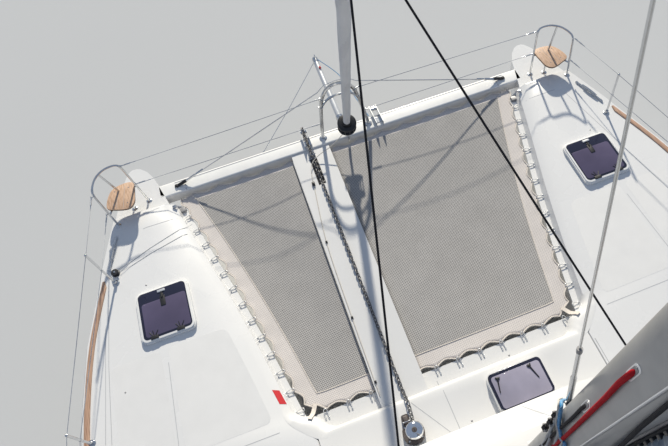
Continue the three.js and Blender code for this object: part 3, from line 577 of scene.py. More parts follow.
def round_rect(x, y, lx, ly, r, steps=5):
    points = []
    for k, (sx, sy) in enumerate(((1, 1), (-1, 1), (-1, -1), (1, -1))):
        for i in range(steps + 1):
            a = math.pi / 2 * (k + i / steps)
            points.append((x + sx * (lx / 2 - r) + r * math.cos(a), y + sy * (ly / 2 - r) + r * math.sin(a)))
    return points


def smooth_path(points, steps=6, closed=False):
    """A curve through the points given."""
    points = [Vector(p) for p in points]
    count = len(points)
    result = []
    for i in range(count if closed else count - 1):
        p1, p2 = points[i], points[(i + 1) % count]
        p0 = points[i - 1] if i or closed else p1 * 2 - p2
        p3 = points[(i + 2) % count] if i + 2 < count or closed else p2 * 2 - p1
        for k in range(steps):
            t = k / steps
            a = (p1 * 2) + (p2 - p0) * t
            b = (p0 * 2 - p1 * 5 + p2 * 4 - p3) * t * t
            c = (p1 * 3 - p0 - p2 * 3 + p3) * t * t * t
            result.append((a + b + c) / 2)
    if not closed:
        result.append(points[-1])
    return result


def smooth_table(table, steps, closed=False):
    """A curve through pairs of numbers, as pairs."""
    return [(p.x, p.y) for p in smooth_path([(a, b, 0) for a, b in table], steps, closed)]


def along_table(table, x):
    """Values between the rows of a table whose first column rises."""
    for row, after in zip(table, table[1:]):
        if x <= after[0]:
            t = (x - row[0]) / (after[0] - row[0])
            return [a + (b - a) * t for a, b in zip(row[1:], after[1:])]
    return list(table[-1][1:])


def piece(name, form, looks, body=BOAT, angle=50.0):
    mesh = bpy.data.meshes.new(name)
    mesh.from_pydata([tuple(p) for p in form.points], [], form.faces)
    for look in looks if isinstance(looks, (list, tuple)) else [looks]:
        mesh.materials.append(LOOKS[look])
    mesh.polygons.foreach_set("material_index", form.kinds)
    mesh.shade_smooth()
    mesh.set_sharp_from_angle(angle=math.radians(angle))
    mesh.validate()
    solid = bmesh.new()
    solid.from_mesh(mesh)
    bmesh.ops.recalc_face_normals(solid, faces=solid.faces)
    solid.to_mesh(mesh)
    solid.free()
    made = bpy.data.objects.new(name, mesh)
    bpy.context.scene.collection.objects.link(made)
    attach(made, body)
    return made


def surface_of(*names):
    """A tree of the faces of these solids, to cast rays at."""
    points, faces = [], []
    for name in names:
        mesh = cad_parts[name].data
        start = len(points)
        points.extend(v.co.copy() for v in mesh.vertices)
        faces.extend([i + start for i in p.vertices] for p in mesh.polygons)
    return BVHTree.FromPolygons(points, faces)


make_camera()
make_light()
dress_nodes()
DECKS = surface_of("hull_port", "hull_starboard", "bridge_deck", "walkway")
ROOF = surface_of("coachroof", "bridge_deck")


def deck_height(x, y, default=DECK_Z):
    hit = DECKS.ray_cast(Vector((x, y, 3.0)), DOWN)[0]
    return hit.z if hit else default


def deck_point(x, y, lift=0.0):
    return Vector((x, y, deck_height(x, y) + lift))


def roof_height(x, y):
    hit = ROOF.ray_cast(Vector((x, y, 4.0)), DOWN)[0]
    return hit.z if hit else 2.0


# Nets laced to the hulls, the beam and the bridge deck
NET_AFT_X = 1.378
NET_FRONT_X = 4.556
NET_SAG = 0.045
HOOK_FIRST_X = 4.222
HOOK_STEP_X = 0.229
HOOKS_OUTER = 13
SCALLOP = 0.05
HEM_W = 0.2
HEM_STEPS = 4
ROWS = 96
ACROSS_INNER = 46
ACROSS_HEM = 6
CORNER_REACH = 0.30
AFT_HOOKS = {"port": [0.834, 1.080, 1.330], "starboard": [0.107 - 0.2465 * k for k in range(7)]}
NET_INNER = {"port": WALK_Y + WALK_HALF + 0.006, "starboard": WALK_Y - WALK_HALF - 0.006}
FRONT_STEP_Y = 0.316
FRONT_FIRST_Y = -0.126
HOOK_HALF = 0.018
HOOK_FOOT = 0.070
HOOK_BEND = -0.004
NET_THICK = 0.004
FRONT_HEM = 0.12
LACE_X = 4.572
LACE_EVERY = 4
NET_LINE = {"x": 2.7, "y": 1.800, "slope": 0.235, "bend": 0.024}


def net_outer(x):
    """The line of the hooks on each hull, a shallow curve: its distance from the boat's middle."""
    along = x - NET_LINE["x"]
    return NET_LINE["y"] + NET_LINE["slope"] * along + NET_LINE["bend"] * along ** 2


def scallop(share):
    """How far the edge draws in between two hooks: nothing at the hooks, most half way."""
    return 1 - abs(2 * (share % 1.0) - 1) ** 1.6


def fade(distance, reach=HEM_W):
    return max(0.0, 1 - distance / reach)


def net_point(side, sign, distance, y):
    """A point of the net: drawn in between its hooks, pulled at its corner and sagging a little."""
    length = NET_FRONT_X - NET_AFT_X
    x = NET_AFT_X + distance
    inner, outer = NET_INNER[side], net_outer(x) * sign
    edge = abs(outer - y)
    hooks = AFT_HOOKS[side]
    draw = SCALLOP * scallop((HOOK_FIRST_X - x) / HOOK_STEP_X) * fade(edge) ** 2
    pull = SCALLOP * scallop((y - hooks[0]) / (hooks[1] - hooks[0])) * fade(distance) ** 2
    pull -= SCALLOP * scallop((y - FRONT_FIRST_Y) / FRONT_STEP_Y) * fade(length - distance) ** 2
    across = math.sin(math.pi * abs(y - inner) / abs(outer - inner))
    sag = NET_SAG * math.sin(math.pi * min(1, distance / length)) * across
    corner = fade(edge, CORNER_REACH) * fade(distance, CORNER_REACH)
    return (x + pull + 0.06 * corner, y - sign * (draw + 0.05 * corner), NET_Z - NET_THICK - sag)


def make_net(side, sign):
    inner = NET_INNER[side]
    length = NET_FRONT_X - NET_AFT_X
    rows = [HEM_W * k / HEM_STEPS for k in range(HEM_STEPS + 1)]
    rows += [HEM_W + (length - HEM_W) * k / ROWS for k in range(1, ROWS + 1)]
    grid = []
    for distance in rows:
        outer = net_outer(NET_AFT_X + distance) * sign
        hem = outer - sign * HEM_W
        line = [inner + (hem - inner) * k / ACROSS_INNER for k in range(ACROSS_INNER + 1)]
        line += [hem + (outer - hem) * k / ACROSS_HEM for k in range(1, ACROSS_HEM + 1)]
        grid.append([net_point(side, sign, distance, y) for y in line])
    width = len(grid[0])
    form = Form()
    faces, kinds = [], []
    for i in range(len(grid) - 1):
        for j in range(width - 1):
            a = i * width + j
            face = [a, a + 1, a + width + 1, a + width]
            faces.append(face if sign < 0 else face[::-1])
            kinds.append(1 if i < HEM_STEPS or j >= ACROSS_INNER or rows[i] > length - FRONT_HEM else 0)
    form.add([p for row in grid for p in row], faces)
    form.kinds = kinds
    net = piece("netting_" + side, form, ["net", "hem"], angle=80)
    thick = net.modifiers.new("thickness", "SOLIDIFY")
    thick.thickness = NET_THICK
    thick.offset = 0
    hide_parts("net_" + side)
    front_line = grid[-1][::-1]
    rim = grid[0][:-1] + [row[-1] for row in grid[:-1]] + front_line
    seams = (grid[HEM_STEPS][: ACROSS_INNER + 1], [row[ACROSS_INNER] for row in grid[HEM_STEPS:]])
    edge = Form().tube([Vector(p) + up(0.004) for p in rim], 0.008, sides=6)
    for line in seams:
        edge.tube([Vector(p) + up(0.003) for p in line], 0.006, sides=6)
    lacing = Form()
    for x, y, z in front_line[::LACE_EVERY]:
        loop = [(x, y, z), (x + 0.03, y + 0.004, z - 0.03), (LACE_X, y, z - 0.045)]
        lacing.tube(loop, 0.0035, sides=5)
    hem = piece("net_edge_rope_" + side, edge, "webbing")
    ties = piece("net_lacing_" + side, lacing, "white_rope")


def make_hooks(side, sign):
    """Staples that hold the net's edge down on the ledge."""
    form = Form()
    places = []
    for k in range(HOOKS_OUTER):
        x = HOOK_FIRST_X - HOOK_STEP_X * k
        slope = NET_LINE["slope"] + 2 * NET_LINE["bend"] * (x - NET_LINE["x"])
        places.append((Vector((x, net_outer(x) * sign, 0)), Vector((-slope, sign, 0)).normalized()))
    places += [(Vector((NET_AFT_X, y, 0)), Vector((-1, 0, 0))) for y in AFT_HOOKS[side]]
    for start, out in places:
        along = Vector((-out.y, out.x, 0))
        bend = [math.radians(d) for d in (30, 60, 90, 120, 150)]
        steps = [(HOOK_FOOT, -1), (HOOK_BEND, -1)]
        steps += [(HOOK_BEND - HOOK_HALF * math.sin(a), -math.cos(a)) for a in bend]
        steps += [(HOOK_BEND, 1), (HOOK_FOOT, 1)]
        path = []
        for reach, across in steps:
            p = start + out * reach + along * HOOK_HALF * across
            path.append((p.x, p.y, LEDGE_Z + 0.010 + 0.008 * max(0.0, 1 - reach / 0.03)))
        form.tube(path, 0.0042)
        turn = Matrix.Rotation(math.atan2(out.y, out.x), 3, "Z")
        for across in (-1, 1):
            foot = start + out * 0.066 + along * HOOK_HALF * across
            form.block((foot.x, foot.y, LEDGE_Z + 0.006), (0.022, 0.016, 0.0114), 0, 0.003, turn)
    piece("net_hooks_" + side, form, "pale_alloy")


for side, sign in SIDES:
    make_net(side, sign)
    make_hooks(side, sign)

# Anchor chain over the bow roller and along the walkway, as x and z
CHAIN_PATH = [
    (4.908, 1.345), (4.908, 1.530), (4.894, 1.563), (4.860, 1.578), (4.690, 1.545), (4.600, 1.522),
    (4.465, 1.508), (4.395, 1.468), (4.050, 1.468), (3.985, 1.512), (1.250, 1.524), (1.120, 1.680),
    (0.914, 1.690),
]
LINK = {"wire": 0.006, "width": 0.0185, "length": 0.029, "pitch": 0.041}
# Spare runs of chain in the trough: their ends, how far each is to the side, and their height
SPARE_ENDS = (4.41, 4.04)
SPARE_SIDES = (-0.026, 0.026, 0.0)
SPARE_Z = 1.456


def walk_path(points, step):
    """Points along a line at equal steps, each with its direction."""
    result = []
    left = 0.0
    for a, b in zip(points, points[1:]):
        span = (b - a).length
        while left <= span:
            result.append((a + (b - a) * (left / span), (b - a).normalized()))
            left += step
        left -= span
    return result


def make_chain():
    half = LINK["length"] - LINK["width"]
    loop = [(math.copysign(half, c) + LINK["width"] * c, LINK["width"] * s, 0) for c, s in circle(12, 0.5)]
    link = Form().tube(loop, LINK["wire"], sides=6, closed=True)
    form = Form()

    def lay(path, odd, even, jitter):
        for i, (point, along) in enumerate(walk_path(path, LINK["pitch"])):
            angle = math.radians(odd if i % 2 else even)
            if jitter:
                angle += random.uniform(-jitter, jitter)
            basis = along.to_track_quat("X", "Z").to_matrix().to_4x4()
            form.merge(link, Matrix.Translation(point) @ basis @ Matrix.Rotation(angle, 4, "X"))

    lay([Vector((x, WALK_Y if x > 1.0 else WALK_Y + 0.02, z + 0.004)) for x, z in CHAIN_PATH], 45, -45, 0.2)
    for run, y in enumerate(SPARE_SIDES):
        lay([Vector((x, WALK_Y + y, SPARE_Z + 0.004 * run)) for x in SPARE_ENDS], 60, -25, 0)
    made = piece("chain_links", form, "galvanised")
    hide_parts("anchor_chain")


make_chain()

# The furled headsail and its drum: radius at each share of the stay
ROLL = [
    (0.012, 0.042), (0.03, 0.048), (0.2, 0.070), (0.45, 0.078), (0.7, 0.062), (0.9, 0.038), (0.96, 0.024),
    (0.998, 0.008),
]
ROLL_LOW, ROLL_HIGH = 0.0125, 0.998
ROLL_STEPS = 260
ROLL_SIDES = 24
WRAPS = 16.0
# From and to as shares of the stay, radius and bevel of the drum's discs
DRUM_PARTS = [
    (0.002, 0.0035, 0.120, 0.006), (0.0095, 0.0115, 0.120, 0.006), (0.0035, 0.0095, 0.052, 0.002),
    (0.0105, 0.0145, 0.058, 0.01),
]


def make_furled_sail():
    form = Form()
    side = Vector((0, 1, 0))
    front = STAY.normalized().cross(side)
    rings = []
    for i in range(ROLL_STEPS + 1):
        share = ROLL_LOW + (ROLL_HIGH - ROLL_LOW) * i / ROLL_STEPS
        centre = STAY_FOOT + STAY * share
        radius = along_table(ROLL, share)[0]
        ring = []
        for j in range(ROLL_SIDES):
            a = 2 * math.pi * j / ROLL_SIDES
            spiral = (j / ROLL_SIDES - WRAPS * share) % 1.0
            r = radius * (0.93 + 0.07 * spiral) + 0.0012 * math.sin(a * 3 + share * 140)
            ring.append(centre + (side * math.cos(a) + front * math.sin(a)) * r)
        rings.append(ring)
    form.rings(rings)
    for index in range(len(form.faces)):
        i, j = divmod(index, ROLL_SIDES)
        spiral = (j / ROLL_SIDES - WRAPS * 0.98 * i / ROLL_STEPS) % 1.0
        form.kinds[index] = 1 if spiral < 0.3 and i < ROLL_STEPS else 0
    for low, high, r, bevel in DRUM_PARTS:
        top = STAY.length * (high - low)
        profile = [(r * 0.5, 0), (r - bevel, 0), (r, bevel)]
        profile += [(r, top - bevel), (r - bevel, top), (r * 0.5, top)]
        form.lathe(profile, STAY_FOOT + STAY * low, STAY, 2, 28)
    for c, s in circle(12):
        out = (side * c + front * s) * 0.112
        form.tube([STAY_FOOT + STAY * share + out for share in (0.0028, 0.0105)], 0.006, 2, 6)
    for k in range(6):
        turn = []
        for j, (c, s) in enumerate(circle(20)):
            share = 0.0042 + 0.0009 * (k + j / 20)
            turn.append(STAY_FOOT + STAY * share + (side * c + front * s) * 0.061)
        form.tube(turn, 0.0065, 3, 6)
    looks = ["sail", "sun_strip", "black_plastic", "grey_rope"]
    made = piece("furled_sail_roll", form, looks, "headsail")
    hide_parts("furled_headsail")


make_furled_sail()

# Sheets of the headsail, led aft along both sides of the mast
CLEW_SHARE = 0.265
SHEET_ENDS = {"port": Vector((-0.5, 1.076, 2.1)), "starboard": Vector((-0.5, -1.57, 2.1))}
SHEET_SAG = 0.02
SHEET_STEPS = 40


def make_sheets():
    clew = STAY_FOOT + STAY * CLEW_SHARE
    for side, sign in SIDES:
        start = clew + Vector((-0.075, 0.02 * sign, -0.02))
        shares = [i / SHEET_STEPS for i in range(SHEET_STEPS + 1)]
        path = [start.lerp(SHEET_ENDS[side], t) - up(SHEET_SAG * math.sin(math.pi * t)) for t in shares]
        piece("headsail_sheet_" + side, Form().tube(path, 0.009), "black_rope")


make_sheets()

# Forward crossbeam with a grey line of painted groove shade along its top, end bolts and wire toggles
BEAM = {"x": 4.68, "z": 1.42, "half_x": 0.104, "half_z": 0.080, "corner": 0.026}
BEAM_TOP = BEAM["z"] + BEAM["half_z"]
BEAM_GROOVE_X = 4.752
BEAM_BARS = [
    ((4.684, 2.268, 1.503), (4.695, 2.13, 1.545), 0.021, 2, 10),
    ((4.676, 2.262, 1.502), (4.70, 2.262, 1.502), 0.03, 2, 12),
    ((4.704, 1.985, 1.598), (4.712, 1.88, 1.638), 0.010, 1, 8),
    ((4.757, 0.222, 2.118), (4.759, 0.216, 2.142), 0.031, 1, 14),
    ((4.744, 0.245, 2.00), (4.746, 0.241, 2.02), 0.030, 1, 14),
    ((4.733, 0.225, 2.175), (4.738, 0.30, 2.175), 0.009, 1, 8),
    ((4.690, 0.30, 1.78), (4.692, 0.42, 1.781), 0.009, 1, 8),
]


def make_beam():
    low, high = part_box("crossbeam")
    form = Form()
    section = round_rect(BEAM["x"], BEAM["z"], 2 * BEAM["half_x"], 2 * BEAM["half_z"], BEAM["corner"], 6)
    stations = [low.y + (high.y - low.y) * i / 60 for i in range(61)]
    form.rings([[(x, y, z) for x, z in section] for y in stations])
    # Faces on the beam's aft side take the grey look: painted shade
    for index, face in enumerate(form.faces):
        middle = sum((form.points[i] for i in face), Vector()) / len(face)
        if middle.x < BEAM["x"] - BEAM["half_x"] + 0.006:
            form.kinds[index] = 1
    beam = piece("beam_spar", form, ["white_paint", "beam_shaded_side"], angle=30)
    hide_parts("crossbeam")
    fittings = Form()
    # A thin grey rod along the beam's top: painted shade of a groove
    fittings.tube([(BEAM_GROOVE_X, low.y + 0.2, BEAM_TOP), (BEAM_GROOVE_X, high.y - 0.2, BEAM_TOP)], 0.004, 0, 6)
    bolt = [(0.001, 0.009), (0.009, 0.009), (0.012, 0.006), (0.012, 0), (0.001, 0)]
    collar = [(0.001, 0.014), (0.034, 0.014), (0.044, 0.010), (0.052, 0.0), (0.001, 0.0)]
    for _, sign in SIDES:
        for x in (4.605, 4.665, 4.725):
            fittings.lathe(bolt, (x, sign * 2.16, BEAM_TOP), look=1, sides=12)
        fittings.lathe(collar, (BEAM["x"], sign * 0.314, BEAM_TOP), look=1)
        fittings.bars(BEAM_BARS, sign)
        fittings.block(deck_point(4.352, sign * 2.30, 0.012), (0.075, 0.14, 0.024), 3, 0.008)
        fittings.block(deck_point(4.34, sign * 2.33, 0.03), (0.03, 0.05, 0.03), 1, 0.006)
    piece("beam_fittings", fittings, ["seam", "steel", "black_plastic", "grey_metal"])


make_beam()

# Sprit: end fitting, side wire and tack rope
SPRIT_TIP = Vector((6.10, 0.0, 1.51))


def make_sprit_fittings():
    form = Form()
    along = Vector((1.29, 0, 0.055)).normalized()
    cap = [(0.030, -0.09), (0.041, -0.088), (0.043, -0.01), (0.040, 0.0), (0.010, 0.004), (0.001, 0.004)]
    form.lathe(cap, SPRIT_TIP - along * 0.004, along)
    form.tube([SPRIT_TIP + Vector((-0.04, 0, z)) for z in (0.03, 0.075)], 0.008)
    eye = [SPRIT_TIP + Vector((-0.04 + 0.018 * c, 0, 0.085 + 0.018 * s)) for c, s in circle(16)]
    form.tube(eye, 0.005, 0, 6, closed=True)
    form.tube([(6.02, 0.045, 1.50), (5.45, 0.57, 1.42), (4.79, 1.17, 1.385)], 0.004, 0, 6)
    form.tube([(4.87, 1.10, 1.390), (4.79, 1.17, 1.385)], 0.010)
    rope = [(6.03, -0.035, 1.535), (5.66, -0.225, 1.503), (5.2, -0.30, 1.50), (4.80, -0.36, 1.50)]
    form.tube(smooth_path(rope), 0.0055, 1, 6)
    form.tube([(5.88, -0.012, 1.545), (5.85, -0.016, 1.545)], 0.014, 2, 10)
    form.lathe([(0.046, -0.02), (0.052, -0.018), (0.052, 0.018), (0.046, 0.02)], (4.96, 0, 1.463), along)
    piece("sprit_fittings", form, ["steel", "blue_rope", "red_paint"])


make_sprit_fittings()

# Seats in the bow pulpits
SEAT = [
    (4.722, 2.712), (4.70, 2.955), (4.468, 3.047), (4.39, 2.94), (4.352, 2.80), (4.40, 2.73),
    (4.50, 2.705),
]
SEAT_LOW, SEAT_HIGH = 1.789, 1.811
SEAT_SEAMS = [((4.715, 2.80), (4.37, 2.855)), ((4.705, 2.885), (4.40, 2.935))]


def make_seats():
    for side, sign in SIDES:
        outline = [(x, y * sign) for x, y in smooth_table(SEAT, 5, closed=True)]
        form = Form().slab(outline, SEAT_LOW, SEAT_HIGH, 0, 0.004, 3)
        # The sides of each seat take the darker wood: painted shade on its edges
        for index, face in enumerate(form.faces):
            if max(form.points[i].z for i in face) < SEAT_HIGH - 0.003:
                form.kinds[index] = 1
        for (x0, y0), (x1, y1) in SEAT_SEAMS:
            form.tube([(x0 - 0.012, y0 * sign, SEAT_HIGH), (x1 + 0.02, y1 * sign, SEAT_HIGH)], 0.0018, 2, 6)
        for x, y in ((4.66, 2.76), (4.66, 2.93), (4.44, 2.80), (4.47, 2.96)):
            form.lathe(button(0.002, 0.006, 0.002, 0.007), (x, y * sign, SEAT_HIGH), look=3, sides=10)
        for x, y in ((4.63, 2.86), (4.50, 2.80)):
            form.tube([(x, y * sign + dy, SEAT_LOW - 0.012) for dy in (-0.02, 0.02)], 0.013, 3)
        seat = piece("pulpit_bench_" + side, form, ["wood", "wood_shaded_side", "seam", "steel"])
        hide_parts("pulpit_seat_" + side)


make_seats()

# Strip of wood along each gunwale
HULL_EDGE = [
    (-7.2, 3.64), (-6.9, 3.66), (-5.2, 3.75), (-3.4, 3.80), (-1.5, 3.82), (0, 3.80), (1.1, 3.765),
    (1.386, 3.752), (1.5, 3.745), (2.2, 3.68), (2.9, 3.555), (3.6, 3.34), (3.82, 3.27),
]
STRIP_FRONT_X = 3.62
STRIP_LENGTH = 10.82
STRIP_STEPS = 130


def make_gunwales():
    edge_line = smooth_table(HULL_EDGE, 8)
    for side, sign in SIDES:
        rings = []
        for i in range(STRIP_STEPS + 1):
            x = HULL_EDGE[0][0] + STRIP_LENGTH * i / STRIP_STEPS
            edge = along_table(edge_line, x)[0]
            taper = min(1.0, (STRIP_FRONT_X - x) / 0.12 + 0.35)
            a, b = edge - 0.112 * (0.5 + taper / 2), edge - 0.050
            inner = [(a, -0.02), (a, 0.008), (a + 0.006, 0.013)]
            outer = [(b - 0.006, 0.013), (b, 0.008), (b, -0.03)]
            ring = []
            for y, rise in inner + outer:
                base = deck_height(x, max(min(y, edge - 0.03), 0) * sign, 1.585)
                ring.append((x, y * sign, max(base, 1.575) + rise))
            rings.append(ring)
        piece("gunwale_" + side, Form().rings(rings), "rub_wood")


make_gunwales()

# Thin grey lines that follow the deck, painted shade of its grooves and joints: those on both sides, then
# single ones with their width
SIDE_SEAMS = [
    [(4.343, 2.688), (4.374, 2.501)], [(4.14, 2.731), (4.154, 2.327)], [(2.40, 2.715), (1.53, 2.76)],
    [(1.30, 1.80), (1.30, 2.54)],
]
SEAMS = [
    ([(3.548, 3.22), (2.6, 3.33), (1.784, 3.394)], 0.006), ([(3.042, 3.314), (1.807, 3.454)], 0.006),
    ([(4.045, -2.832), (3.1, -3.03), (2.286, -3.192)], 0.006),
    ([(1.026, -1.497), (0.463, -1.497)], 0.008), ([(1.255, 0.156), (0.684, 0.148)], 0.008),
    ([(1.106, 0.498), (0.712, 0.245)], 0.006),
]
DECK_PLUGS = [
    (2.254, 3.196), (3.383, 2.807), (0.731, 0.011), (1.225, -0.651), (2.254, -3.196), (3.383, -2.807),
]
# Grip panels: aft and forward end, then the inner and outer line as functions of x
GRIP_PANELS = [
    (1.42, 2.56, lambda x: net_outer(x) + 0.30, lambda x: 2.695),
    (1.42, 2.56, lambda x: 2.775, lambda x: 3.32),
    (-3.9, -0.9, lambda x: 2.20, lambda x: 3.42),
    (-0.8, 1.05, lambda x: 2.75 + 0.1 * x, lambda x: 3.45),
    (-6.8, -4.0, lambda x: 2.30, lambda x: 3.38),
]
ROOF_PANELS = [
    (-4.05, -2.6, lambda x: 0.12, lambda x: 1.30), (-2.45, -1.3, lambda x: 0.12, lambda x: 1.30),
    (-0.45, 0.50, lambda x: 0.32, lambda x: 1.25),
]
PANEL_CORNER = 0.07
PANEL_ACROSS = 14
SUNK = 0.004


# A thin grey strip on a surface: painted shade of a groove
def seam_line(form, points, width=0.006, height=deck_height):
    path = [Vector((x, y, 0)) for x, y in points]
    fine = []
    for a, b in zip(path, path[1:]):
        count = max(1, int((b - a).length / 0.05))
        fine += [a.lerp(b, k / count) for k in range(count)]
    fine.append(path[-1])
    rings = []
    for i, p in enumerate(fine):
        along = (fine[min(i + 1, len(fine) - 1)] - fine[max(i - 1, 0)]).normalized()
        half = Vector((-along.y, along.x, 0)) * width / 2
        ring = [(p - half, -SUNK), (p - half, 0.001), (p + half, 0.001), (p + half, -SUNK)]
        rings.append([(q.x, q.y, height(q.x, q.y) + lift) for q, lift in ring])
    form.rings(rings)


def grip_panel(form, sign, start, end, inner, outer, height=deck_height):
    """A panel between two lines along the boat, with rounded corners, just proud of the deck."""
    corner = PANEL_CORNER
    turns = [math.pi / 2 * k / 5 for k in range(6)]
    first = [(start + corner * (1 - math.cos(a)), corner * (1 - math.sin(a))) for a in turns]
    last = [(end - (x - start), inset) for x, inset in first][::-1]
    middle = max(2, int((end - start) / 0.12))
    body = [(start + corner + (end - start - 2 * corner) * k / middle, 0.0) for k in range(1, middle)]
    rings = []
    for x, inset in first + body + last:
        y0, y1 = sign * (inner(x) + inset), sign * (outer(x) - inset)
        line = [y0 + (y1 - y0) * k / PANEL_ACROSS for k in range(PANEL_ACROSS + 1)]
        ring = [(x, y0, height(x, y0) - SUNK)]
        ring += [(x, y, height(x, y) + 0.0008) for y in line]
        ring.append((x, y1, height(x, y1) - SUNK))
        rings.append(ring)
    form.rings(rings)


def make_deck_details():
    grip, lines, roof = Form(), Form(), Form()
    for _, sign in SIDES:
        for panel in GRIP_PANELS:
            grip_panel(grip, sign, *panel)
        for panel in ROOF_PANELS:
            grip_panel(roof, sign, *panel, height=roof_height)
        for points in SIDE_SEAMS:
            seam_line(lines, [(x, y * sign) for x, y in points])
    for points, width in SEAMS:
        seam_line(lines, points, width)
    seam_line(lines, [(0.645, -0.445), (0.447, -0.646)], 0.007, roof_height)
    for x, y in DECK_PLUGS:
        lines.lathe(button(0.003, 0.008, 0.002, 0.011), deck_point(x, y), look=1, sides=12)
    piece("grip_panels", grip, "non_skid")
    piece("deck_seams", lines, ["seam", "grey_metal"])
    piece("roof_grip_panels", roof, "non_skid")


make_deck_details()

# Rounded coaming where each hull's inner edge meets the bridge deck
COAMING_FOOT = [
    (1.52, 1.624), (1.46, 1.606), (1.42, 1.572), (1.395, 1.525), (1.378, 1.460), (1.345, 1.405),
    (1.285, 1.360), (1.230, 1.320), (1.196, 1.260),
]
COAMING_TOP = [
    (1.52, 1.745), (1.45, 1.732), (1.37, 1.708), (1.295, 1.660), (1.220, 1.590), (1.150, 1.520),
    (1.105, 1.450), (1.085, 1.360), (1.100, 1.260),
]
# The coaming's rise across its width: at the hull, in the corner and at the bridge deck
COAMING_RISE = [
    (0.0, 1.415, 1.415, 1.415), (0.03, 1.434, 1.460, 1.434), (0.10, 1.471, 1.515, 1.472),
    (0.24, 1.539, 1.560, 1.547), (0.45, 1.556, 1.583, 1.571), (0.72, 1.576, 1.5955, 1.593),
    (1.0, 1.5955, 1.600, 1.5995),
]
COAMING_LOW = 1.415
COAMING_DECK = 1.5995
DECK_LEAST = 1.598
STRAP = [
    (1.485, 1.405, 1.446), (1.440, 1.428, 1.452), (1.400, 1.450, 1.461), (1.372, 1.462, 1.506),
    (1.350, 1.474, 1.554), (1.325, 1.490, 1.584),
]
STRAP_HALF = Vector((0.45, 0.89, 0)) * 0.022


def make_coamings():
    form, straps = Form(), Form()
    foot = smooth_path([(x, y, 0) for x, y in COAMING_FOOT], 5)
    top = smooth_path([(x, y, 0) for x, y in COAMING_TOP], 5)
    for _, sign in SIDES:
        rings = []
        for i, (a, b) in enumerate(zip(foot, top)):
            deck = max(DECK_LEAST, deck_height(b.x, b.y * sign))
            at_hull = fade(i, 12)
            at_bridge = fade(len(foot) - 1 - i, 10)
            ring = []
            for share, hull_z, corner_z, bridge_z in COAMING_RISE:
                p = a.lerp(b, share)
                z = corner_z + (hull_z - corner_z) * at_hull + (bridge_z - corner_z) * at_bridge
                ring.append((p.x, p.y * sign, z + (deck - COAMING_DECK) * share))
            p = a.lerp(b, 1.02)
            rings.append(ring + [(p.x, p.y * sign, deck - 0.02), (p.x, p.y * sign, COAMING_LOW)])
        form.rings(rings)
        rings = []
        for x, y, z in STRAP:
            low, high = Vector((x, y, z)), Vector((x, y, z + 0.004))
            ring = [low - STRAP_HALF, low + STRAP_HALF, high + STRAP_HALF, high - STRAP_HALF]
            rings.append([(p.x, p.y * sign, p.z) for p in ring])
        straps.rings(rings)
    piece("corner_coamings", form, "gelcoat", angle=60)
    piece("corner_straps", straps, "webbing")


make_coamings()

# Fittings on the foredecks
RED_PATCH = [(1.735, 1.768), (1.715, 1.703), (1.556, 1.668), (1.572, 1.732)]
STANCHION_FEET = [
    (3.546, 3.135), (1.872, 3.586), (0.480, 3.680), (-0.900, 3.700), (-2.280, 3.695), (-3.660, 3.675),
    (-5.040, 3.640),
]
STANCHION_TOPS = [
    (3.622, 3.187), (1.812, 3.532), (0.46, 3.65), (-0.91, 3.70), (-2.285, 3.70), (-3.66, 3.685),
    (-5.04, 3.655),
]
WIRE_Z = 1.90
STANCHION_PLATE = [(0.001, 0.007), (0.034, 0.007), (0.040, 0.004), (0.042, 0.0), (0.001, -0.01)]
FOOT_PLATE = [(0.001, 0.006), (0.030, 0.006), (0.036, 0.003), (0.037, 0.0), (0.001, -0.01)]
FAIRLEAD_BLOCK = [
    (0.001, 0.0), (0.040, 0.0), (0.044, 0.008), (0.030, 0.016), (0.030, 0.034), (0.044, 0.042),
    (0.038, 0.052), (0.001, 0.054),
]
DECK_LINES = [((3.698, 3.079), (4.029, 2.18)), ((3.661, 3.066), (3.896, 2.253))]
RAIL_AFT, RAIL_FRONT = (4.157, 3.053), (3.732, 3.189)


